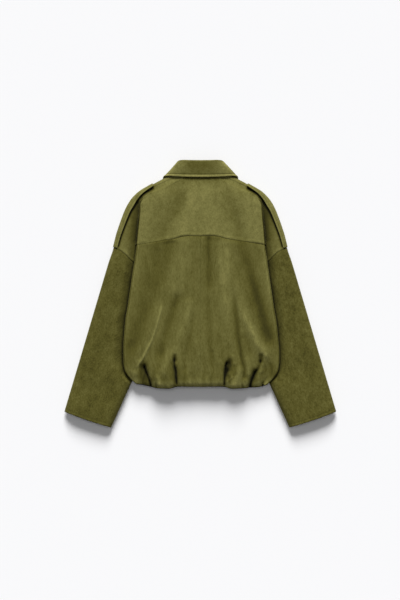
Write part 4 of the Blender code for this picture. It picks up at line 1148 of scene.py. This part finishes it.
def surface_tree(P, N, D, thick):
    """The outer face of a piece, to be asked for its height."""
    A = (P + N * thick / 2 + (0 if D is None else D))
    R, C = A.shape[:2]
    idx = np.arange(R * C).reshape(R, C)
    quads = np.stack([idx[:-1, :-1], idx[:-1, 1:], idx[1:, 1:], idx[1:, :-1]], 2).reshape(-1, 4)
    return BVHTree.FromPolygons([tuple(p) for p in A.reshape(-1, 3)], [tuple(int(c) for c in q) for q in quads])


def build_yoke():
    global YOKE_TREE
    ks = np.unique(np.concatenate([np.linspace(0, 9, 118), np.array([8.93, 8.96, 8.98])]))
    halves = [yoke_row(k) for k in ks]
    n_main = halves[0][1]
    P = np.array([h[0] for h in halves])
    P = np.concatenate([flip(P)[:, :0:-1], P], 1)
    C = P.shape[1]
    mid = C // 2
    # the body edge isn't the same on both sides
    cols = np.abs(np.arange(C) - mid)
    w = smooth((cols / n_main - 0.45) / 0.5) * (1 - smooth((cols - n_main - 8) / 24.0))
    for side in (-1, 1):
        half = (np.arange(C) < mid) if side < 0 else (np.arange(C) > mid)
        P[..., 0] += side * w * half * side_shift(YOKE_SIDE, side, P[..., 1])
    N = grid_normals(P)
    N[N[:, mid, 2] < 0] *= -1
    X, Y = P[..., 0], P[..., 1]
    cols = np.abs(np.arange(C) - mid)
    is_main = (cols < n_main)[None, :] * np.ones(P.shape[:2])
    t = np.minimum(1.0, cols / n_main)[None, :]
    dz, tone = yoke_marks(X, Y)
    k = ks[:, None]
    inner = smooth((1 - t) / 0.10) * is_main
    dz = dz * inner * smooth(k / 0.8) * smooth((9 - k) / 0.3)
    tone = tone * is_main * smooth((1 - t) / 0.03)
    # the seam to the lower back: turned edge, a light ridge above it and a dark line, shaped in the cloth and helped by
    # painted light and painted shade
    to_seam = (9 - k) * 18.0 * np.ones(P.shape[:2])
    left_end = 0.30 + 0.70 * smooth((X + 150) / 60)
    dz += is_main * left_end * (0.6 * np.exp(-((to_seam - 4.5) / 2.6) ** 2) - 0.9 * np.exp(-(to_seam / 1.5) ** 2))
    tone += is_main * left_end * (0.05 * np.exp(-((to_seam - 4.0) / 2.5) ** 2) - 0.24 * np.exp(-(to_seam / 1.7) ** 2))
    # painted shadow of the collar: the narrow dark gap below it, and its soft shade
    ax = np.abs(X)
    gap = np.interp(ax, [0, 32, 65, 90, 104], [312.6, 313.2, 315.2, 316.2, 312.0])
    in_gap = 1 - smooth((ax - 99) / 5)
    tone += is_main * in_gap * (-0.74 * np.exp(-((Y - gap) / 3.4) ** 2) - 0.17 * np.exp(-((Y - gap + 8) / 9.0) ** 2))
    # lit body edge
    tone += 0.34 * np.exp(-((t - 1.0) / 0.015) ** 2) * smooth((k - 3) / 1.0) * is_main
    # drop shoulder: painted shade where it goes in under the body, lighter towards the shoulder
    outer = (cols >= n_main)[None, :] * np.ones(P.shape[:2])
    d = from_body(X, Y)
    shade = crevice(d, np.interp(Y, [50, 110, 150, 215, 260], [11, 17, 21, 25, 26]),
                    np.interp(Y, [90, 130, 196, 210, 222], [0.45, 0.62, 0.55, 0.30, 0.20]))
    far = outer * smooth((k - 3.3) / 0.6)
    tone += far * shade
    tone += outer * (1 - smooth((k - 2.6) / 0.9)) * -0.13
    # armhole seam end of the drop shoulder: a small ridge and groove, with painted light and painted shade
    tone += far * (0.12 * np.exp(-((to_seam / 18 * 26 - 4) / 2.5) ** 2) - 0.15 * np.exp(-(to_seam / 18 * 26 / 1.6) ** 2))
    dz += far * (0.5 * np.exp(-((to_seam / 18 * 26 - 4) / 2.5) ** 2) - 0.7 * np.exp(-(to_seam / 18 * 26 / 1.3) ** 2)) * np.clip(N[..., 2], 0, 1)
    # painted shadow under and beside the shoulder tab
    near, wide = tab_shade(X, Y)
    tone += outer * (-0.94 * near - 0.08 * wide)
    D = np.zeros(P.shape)
    D[..., 2] = dz
    U, V = nap_coords(P)
    ob = wall("yoke", P, N, D, TONE_YOKE * np.maximum(0.03, 1 + tone), U, V, SUEDE, node="back_yoke", seed=0.11)
    declare(ob, P)
    YOKE_TREE = surface_tree(P, N, D, CLOTH)
    A = P + N * CLOTH / 2 + D
    for off in (5.0,):
        i = int(np.argmin(np.abs(9 - ks - off / 18.0)))
        stitches("stitching_yoke", [(A[i, mid - n_main + 3:mid + n_main - 3], N[i, mid - n_main + 3:mid + n_main - 3])])
    return P


def fold_dir(k):
    """Plan direction square out from the shoulder line."""
    a, b = shoulder_at(max(0.0, k - 0.2) / 9), shoulder_at(min(9.0, k + 0.2) / 9)
    dx, dy = b[0] - a[0], b[1] - a[1]
    n = math.hypot(dx, dy)
    out = np.array([-dy / n, dx / n, 0.0])
    return out if out[0] > 0 else -out


def tab_shade(X, Y):
    """Share of shadow beside the inner edge of the shoulder tab, and under it."""
    ks = np.linspace(TAB_START, 9, 40)
    line = []
    for k in ks:
        w, out = shoulder_at(k / 9), fold_dir(k)
        reach = np.interp(k, *TAB_IN)
        line.append((w[0] - out[0] * reach, w[1] - out[1] * reach))
    d, share, _ = to_line(np.abs(X), Y, line)
    inner = d > 0                                # to the right of a line that runs down and out
    if not inner[np.unravel_index(np.argmin(np.abs(X) + 1e3 * (np.abs(Y - 200) > 20)), X.shape)]:
        inner = ~inner
    w = 3.0 + 4.2 * np.exp(-((share - 0.10) / 0.16) ** 2)
    a = np.exp(-(np.maximum(0, np.abs(d) - 2.2) / w) ** 2) * smooth(share / 0.02 + 0.12) * smooth((1 - share) / 0.05 + 0.2)
    wide = np.exp(-(np.abs(d) / 9.0) ** 2)
    under = (~inner) & (share > 0.005)
    return np.where(under, 1.0, a), np.where(under, 1.0, wide) * smooth(share * 30 + 0.3)


def build_back(side, name, node):
    ks = even_rows(lambda k: back_row(k)[0], 0, 16, 2.2, 60)
    rows = [back_row(k) for k in ks]
    P = np.array([r[0] for r in rows])
    n_main, t = rows[0][1], rows[0][2]
    C = P.shape[1]
    # the body edge isn't the same on both sides
    u = np.arange(C)
    w = smooth((u / n_main - 0.45) / 0.5) * (1 - smooth((u - n_main - 12) / 14.0))
    P[..., 0] += w * side_shift(BACK_SIDE, side, P[..., 1])
    if side > 0:
        P[..., 1] -= 4.5 * np.exp(-((P[..., 0] - 160) / 20.0) ** 2) * smooth((ks[:, None] - 9) / 5) * (u < C - 8)
    shift = 0.5 * np.exp(-np.arange(len(ks)) / 1.5)
    P[..., 1] -= shift[:, None]
    P[..., 0] *= side
    N = grid_normals(P)
    if N[len(ks) // 2, n_main // 2, 2] < 0:
        N = -N
    X, Y = P[..., 0], P[..., 1]
    dz, tone = back_marks(X, Y)
    tt = np.concatenate([t, np.ones(C - n_main)])[None, :]
    k = ks[:, None]
    main = (np.arange(C) < n_main)[None, :] * np.ones(P.shape[:2])
    fade = smooth((1 - tt) / 0.10) * smooth(k / 0.5) * (1 - smooth((k - 14.4) / 1.6)) * main
    dz = dz * fade
    run = np.concatenate([[0], np.cumsum(np.linalg.norm(np.diff(P[:, 60], axis=0), axis=1))])[:, None]
    # seam to the yoke, and the centre seam, which dies out half way down, each a shallow groove with painted shade
    # along it
    left_end = 0.30 + 0.70 * smooth((X + 150) / 60)
    dz += main * left_end * (-0.9 * np.exp(-(run / 1.6) ** 2) - 0.2 * np.exp(-((run - 4) / 3) ** 2))
    tone += main * left_end * (-0.24 * np.exp(-(run / 1.8) ** 2) - 0.06 * np.exp(-((run - 5) / 5) ** 2))
    strength = 1 - 0.8 * smooth((60 - Y) / 100)
    ax = np.abs(X)
    dz += main * strength * (-0.30 * np.exp(-(ax / 1.3) ** 2) + 0.25 * np.exp(-((ax - 4) / 2.2) ** 2))
    tone += main * strength * (-0.07 * np.exp(-(ax / 1.6) ** 2) + 0.03 * np.exp(-((ax - 4) / 2.5) ** 2))
    # lit body edge (painted light), painted light over the hem's roll and painted shade where the hem turns under
    tone += (0.20 + 0.20 * smooth((Y + 80) / 60)) * np.exp(-((tt - 1.0) / 0.016) ** 2) * main
    tone = (1 + tone) * (1 + 0.62 * smooth((k - 12.1) / 1.0)) - 1
    tone += -1.25 * smooth((k - 13.6) / 0.5)
    # painted shade on the cloth past the body edge, where it turns under
    tone += -0.25 * (1 - main)
    D = np.zeros(P.shape)
    D[..., 2] = dz
    U, V = nap_coords(P)
    ob = wall(name, P, N, D, TONE_BACK * np.maximum(0.03, 1 + tone), U, V, SUEDE_BACK, node=node, seed=0.31)
    declare(ob, P)
    return P, ks


def build_sleeve(side, name, node):
    vs = np.linspace(0, 1, 178)
    P = np.array([sleeve_ring(v) for v in vs])
    P[..., 0] *= side
    C = P.shape[1]
    N = grid_normals(P, ring=True)
    n = (C + 2) // 2
    if N[60, n // 2, 2] < 0:
        N = -N
    X, Y = P[..., 0], P[..., 1]
    top = ((np.arange(C) < n)[None, :] * np.ones(P.shape[:2])) * smooth((N[..., 2] + 0.1) / 0.3)
    # painted shade where the sleeve goes in under the body edge
    d = from_body(X, Y)
    v = vs[:, None] * np.ones(P.shape[:2])
    wide = [9, 9, 12, 14.5, 12, 10] if side < 0 else [9, 8, 8.5, 9, 11, 12]
    shade = crevice(d, np.interp(Y, [-240, -126, -60, -18, 40, 90], wide),
                    np.interp(Y, [-240, -126, -90, -40, 20, 60, 85, 110], [0.66, 0.62, 0.70, 0.84, 0.76, 0.62, 0.40, 0.60]))
    beside = top * (1 - smooth((-243 - Y) / 14))
    tone = beside * shade
    run = v * 430.0
    dz = np.zeros(P.shape[:2])
    # armhole seam, cuff seam and its stitching line: small grooves and ridges with painted light and painted shade
    clear = smooth(d / 8)
    dz += top * clear * (-0.7 * np.exp(-(run / 1.4) ** 2))
    tone += top * (-0.18 * np.exp(-(run / 1.8) ** 2))
    to_cuff = (1 - v) * 444.0
    dz += top * (0.35 * np.exp(-((to_cuff - 2.5) / 2.5) ** 2) - 0.5 * np.exp(-((to_cuff - 7.0) / 1.2) ** 2))
    tone += top * (0.10 * np.exp(-((to_cuff - 3.0) / 2.2) ** 2) - 0.16 * np.exp(-((to_cuff - 7.0) / 1.4) ** 2))
    # quiet unevenness along the sleeve
    ix = np.arange(C)[None, :] / C
    soft = waves(run + 60 * ix, 21 + side, (88.0, 133.0)) * np.sin(2 * np.pi * ix) * 0.45
    dz += top * soft
    dz += top * 3.0 * smooth((v - 0.72) / 0.25) * np.sin(np.pi * np.clip(np.arange(C) / (n - 1.0), 0, 1))[None, :]
    D = np.zeros(P.shape)
    D[..., 2] = dz
    U, V = nap_coords(P, -side * 0.33)
    ob = wall(name, P, N, D, TONE_SLEEVE * np.maximum(0.03, 1 + tone), U, V, SUEDE_SLEEVE, ring=True,
              node=node, seed=0.55 + 0.1 * side)
    declare(ob, P, ring=True)
    i = int(np.argmin(np.abs(to_cuff[:, 0] - 7.0)))
    A, M = P[i] + N[i] * CLOTH / 2 + D[i], N[i]
    stitches("stitching_" + name, [(np.concatenate([A, A[:1]]), np.concatenate([M, M[:1]]))])
    return P


def build_front(side, outer, name, node):
    global FRONT_TREE
    kt = np.linspace(0, 9, 56)
    rows = [front_top_row(k, outer) for k in kt]
    n = len(rows[0])
    kl = np.linspace(0, 9, 74)[1:]
    low = [front_low_row(k, outer) for k in kl]
    n_low = len(low[0])
    low = [np.concatenate([r, np.repeat(r[-1:], n - n_low, 0)]) for r in low]
    P = np.array(rows + low)
    P[..., 0] *= side
    keep = np.ones((P.shape[0] - 1, n - 1), bool)
    keep[len(rows) - 1:, n_low - 1:] = False
    # normals from the full grid where it is real
    N = grid_normals(P)
    N[len(rows) - 1:, n_low:] = (0, 0, -1)
    if N[40, 20, 2] > 0:
        N = -N
    X, Y = P[..., 0], P[..., 1]
    tone = np.zeros(P.shape[:2])
    d = np.abs(X + side * PLACKET)
    # painted shade along the placket's stitching line
    tone += -0.12 * np.exp(-((d - 30) / 1.6) ** 2)
    U, V = nap_coords(P)
    dz, extra = front_marks(X, Y, side)
    col = np.arange(n)[None, :]
    inside = smooth((44 - col) / 8.0) * smooth((d - 26) / 30) * np.ones(P.shape[:2])
    # painted shade of the creases and the hem ripple
    tone += extra * inside
    D = np.zeros(P.shape)
    D[..., 2] = dz * inside
    # placket: its turned edge stitched down, in line with the hem's
    line = np.abs(d - 30)
    D[..., 2] += 0.22 * np.exp(-(line / 0.9) ** 2)
    hem = Y - np.minimum(P[-1, :, 1].max(), -240.0)
    ob = wall(name, P, N, D, TONE_FRONT * np.maximum(0.03, 1 + tone), U, V, SUEDE, node=node,
              seed=0.75 + 0.1 * side, keep=keep)
    A = P + N * CLOTH / 2 + D
    place = (X + side * PLACKET) * side
    paths = [iso_line(A, N, place, 30.0, 6, P.shape[0] - 1)]
    if outer:
        paths.append(iso_line(A, N, place, 3.5, 6, P.shape[0] - 1))
    i = P.shape[0] - 4
    paths.append((A[i, 2:44], N[i, 2:44]))
    stitches("stitching_" + name, paths)
    declare(ob, P[:, :n_low])
    if side > 0:
        FRONT_TREE = surface_tree(P[:len(rows)], N[:len(rows)], D[:len(rows)], CLOTH)
    return P, n_low, len(rows)


def build_collar():
    ks = even_rows(lambda k: fall_row(k), 0, 9, 2.6, 20)
    right = np.array([fall_row(k) for k in ks])
    P = np.concatenate([flip(right)[:0:-1], right])
    R, C = P.shape[:2]
    # the left side is drawn in a little more than the right
    P[..., 0] += 2.9 * smooth((-P[..., 0] - 32) / 22) * np.exp(-((P[..., 1] - 332) / 24.0) ** 2)
    N = grid_normals(P)
    mid = R // 2
    if N[mid, C // 2, 2] < 0:
        N = -N
    X, Y = P[..., 0], P[..., 1]
    U, V = flat_coords(P, C - 1)
    k = np.abs(np.concatenate([-ks[:0:-1], ks]))[:, None] * np.ones((R, C))
    from_edge = np.abs(U) * 1000.0
    fall = ((np.arange(C) > 11)[None, :] * np.ones((R, C)))
    tone = np.zeros((R, C))
    # painted shade in the middle of the panel and along the stitching, painted light on the rim below the stitching and
    # on the sides
    on_back = smooth((4.2 - k) / 1.0)
    panel = np.exp(-((X + 2) / 47.0) ** 4)
    tone += fall * on_back * (0.13 + 0.30 * (1 - panel) * smooth((from_edge - 6) / 4))
    tone += fall * on_back * panel * (-0.22 * smooth((from_edge - 8) / 4) - 0.20 * smooth((from_edge - 18) / 12))
    tone += fall * (0.95 * np.exp(-((from_edge - 2.6) / 2.7) ** 2) - 0.34 * np.exp(-((from_edge - 8.0) / 1.8) ** 2))
    # stitched side edges: painted light on a band outside the stitching, painted shade along the stitching
    d = (65.0 - np.abs(X)) * 0.748 + (357.0 - Y) * 0.663
    band = fall * on_back * smooth((k - 1.2) / 0.6)
    tone += band * (0.34 * np.exp(-((d - 4.0) / 4.2) ** 2) - 0.16 * np.exp(-((d - 10.5) / 1.8) ** 2))
    D = N * (band * -0.30 * np.exp(-((d - 10.0) / 1.3) ** 2) * smooth((k - 1.5) / 0.5))[..., None]
    U, V = nap_coords(P, math.pi / 2)
    ob = wall("collar", P, N, D, TONE_COLLAR * np.maximum(0.03, 1 + tone), U, V, SUEDE, thick=2.3,
              node="collar_fall", seed=0.91)
    declare(ob, P)
    A = P + N * 1.15 + D
    # along the free edge and up both ends
    paths = [iso_line(A, N, -from_edge, -6.9, 3, R - 3)]
    for e in (3, R - 4):
        c = (from_edge[e] > 6.9) & (np.arange(C) > 12)
        paths.append((A[e][c], N[e][c]))
    stitches("stitching_collar", paths)

    right = np.array([stand_row(k) for k in ks])
    S = np.concatenate([flip(right)[:0:-1], right])
    S[..., 0] += 2.6 * smooth((-S[..., 0] - 32) / 22) * np.exp(-((S[..., 1] - 342) / 13.0) ** 2)
    N = grid_normals(S)
    U, V = nap_coords(S, math.pi / 2)
    ob = wall("stand", S, N, None, np.full(S.shape[:2], 0.8 * TONE_COLLAR), V, U, SUEDE, node="collar_stand", seed=0.95)
    declare(ob, S)
    return P


# ---- shoulder tabs --------------------------------------------------------------------
def tab_section(k, off=LIFT - CLOTH / 2):
    """On the yoke, round the shoulder fold, on the front: a section square across the tab."""
    w = np.array(list(shoulder_at(k / 9)) + [Z_SIDE])
    out = fold_dir(k)
    reach = float(np.interp(k, *TAB_IN))

    def heights(tree, dist, up):
        zs = []
        for d in dist:
            q = w - out * max(0.25, d)
            hit = tree.ray_cast(Vector((q[0], q[1], 90.0 * up)), Vector((0, 0, -1.0 * up)))[0]
            zs.append(hit.z if hit is not None else (zs[-1] if zs else Z_SIDE))
        return np.array(zs)

    off = lerp(off, 1.25, float(smooth((k - 7.6) / 1.2)))

    def run(tree, dist, up):
        z = heights(tree, dist, up)
        for _ in range(2):
            z[1:-1] = 0.5 * z[1:-1] + 0.25 * (z[2:] + z[:-2])
        slope = np.gradient(z, dist)
        pts = []
        for d, zz, m in zip(dist, z, slope):
            n = np.array([out[0] * m, out[1] * m, 1.0]) * up
            pts.append(np.array([w[0] - out[0] * d, w[1] - out[1] * d, zz]) + n / np.linalg.norm(n) * off)
        return pts

    top = run(YOKE_TREE, np.linspace(0.8, reach, 14), 1)
    low = run(FRONT_TREE, np.linspace(2.0, TAB_WIDTH - reach, 22), -1)
    turn = [w - np.array([0, 0, 1.0]) + (out * math.cos(a) + np.array([0, 0, 1.15]) * math.sin(a)) * (off + CLOTH / 2 + 0.1)
            for a in np.linspace(0.62, -0.75, 7)]
    pts = np.array(top[::-1] + turn + low)
    pts[:, 2] = np.maximum(pts[:, 2], 1.2)
    return pts


def build_tab(side, name, node):
    ks = np.linspace(TAB_START, 8.92, 100)
    P = np.array([tab_section(k) for k in ks])
    # take out small unevenness along the tab
    for _ in range(10):
        P[1:-1] = 0.5 * P[1:-1] + 0.25 * (P[2:] + P[:-2])
    # the inner edge stands off the shoulder, most near its free end
    R, C = P.shape[:2]
    col = np.arange(C)[None, :]
    free = np.exp(-((ks[:, None] - TAB_START) / 1.6) ** 2)
    P[..., 2] += np.exp(-(col / 5.0) ** 2) * (0.5 + 2.4 * free)
    P[..., 2] += smooth((C - 1 - col) / 6.0) * 0 + 0.4 * free * np.exp(-((col - 17) / 7.0) ** 2)
    P[..., 0] *= side
    N = grid_normals(P)
    if N[30, 6, 2] < 0:
        N = -N
    U, V = flat_coords(P, 0)
    u, total = U * 1000, (U * 1000)[:, -1:]
    v = V * 1000
    # painted light along the tab's edges and its end, painted shade in its stitching lines
    tone = (0.12 * np.exp(-((u - 1.5) / 2.0) ** 2) - 0.14 * np.exp(-((u - 5.0) / 1.2) ** 2)
            + 0.10 * np.exp(-((total - u - 1.5) / 2.0) ** 2) - 0.14 * np.exp(-((total - u - 5.0) / 1.2) ** 2)
            + 0.10 * np.exp(-((v - 1.5) / 2.0) ** 2))
    dz = -0.28 * (np.exp(-((u - 5.0) / 1.0) ** 2) + np.exp(-((total - u - 5.0) / 1.0) ** 2))
    D = N * dz[..., None]
    U, V = nap_coords(P, side * 0.5)
    ob = wall(name, P, N, D, TONE_TAB * (1 + tone), U, V, SUEDE, thick=2.1, node=node, seed=1.2 + 0.1 * side)
    declare(ob, P)
    A = P + N * 1.05 + D
    paths = [iso_line(A, N, u, 5.0, 4, R - 1), iso_line(A, N, total - u, 5.0, 4, R - 1)]
    end = int(np.argmin(np.abs(v[:, 10] - 5.0)))
    c = (u[end] > 5.0) & (u[end] < total[end] - 5.0)
    paths.append((A[end][c], N[end][c]))
    stitches("stitching_" + name, paths)
    return P


yoke_P = build_yoke()
build_back(-1, "back_panel_left", "back_left")
build_back(1, "back_panel_right", "back_right")
build_sleeve(-1, "sleeve_l", "sleeve_left")
build_sleeve(1, "sleeve_r", "sleeve_right")
build_front(-1, False, "front_panel_left", "front_left")
build_front(1, True, "front_panel_right", "front_right")
build_collar()
build_tab(-1, "tab_left", "epaulette_left")
build_tab(1, "tab_right", "epaulette_right")

for name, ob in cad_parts.items():
    if "button" in name:
        ob.data.materials.clear()
        ob.data.materials.append(HORN)

# =======================================================================================
# floor and light
# =======================================================================================
floor_mesh = bpy.data.meshes.new("floor")
F = 40.0
floor_mesh.from_pydata([(-F, -F, 0), (F, -F, 0), (F, F, 0), (-F, F, 0)], [], [(0, 1, 2, 3)])
floor = bpy.data.objects.new("floor", floor_mesh)
bpy.context.scene.collection.objects.link(floor)
fm = bpy.data.materials.new("pale_floor")
fm.use_nodes = True
fb = fm.node_tree.nodes["Principled BSDF"]
fb.inputs["Base Color"].default_value = (0.915, 0.915, 0.926, 1)
fb.inputs["Roughness"].default_value = 1.0
fb.inputs["Specular IOR Level"].default_value = 0.0
floor_mesh.materials.append(fm)

sun_data = bpy.data.lights.new("key", "SUN")
sun_data.energy = 4.62
sun_data.angle = 0.50
sun = bpy.data.objects.new("key", sun_data)
sun.rotation_euler = (-math.radians(90 - 31.5), 0, 0)
sun.location = (0, 2, 2)
bpy.context.scene.collection.objects.link(sun)

over_data = bpy.data.lights.new("overhead", "SUN")
over_data.energy = 0.38
over_data.angle = 0.35
over = bpy.data.objects.new("overhead", over_data)
over.rotation_euler = (-math.radians(6), 0, 0)
over.location = (0, 0, 3)
bpy.context.scene.collection.objects.link(over)

world = bpy.data.worlds.new("world")
bpy.context.scene.world = world
world.use_nodes = True
bg = world.node_tree.nodes["Background"]
bg.inputs["Color"].default_value = (0.985, 0.99, 1.0, 1)
bg.inputs["Strength"].default_value = 0.155

bpy.context.scene.view_settings.view_transform = "Standard"
bpy.context.scene.view_settings.look = "None"
bpy.context.scene.view_settings.exposure = 0.0

for s in SHEETS:
    print("sheet", s[0], "flat %.3f x %.3f m, area %.4f m2" % s[1:])
tri = {o.name: sum(len(p.vertices) - 2 for p in o.data.polygons) for o in PIECES}
print("triangles", sum(tri.values()), tri)
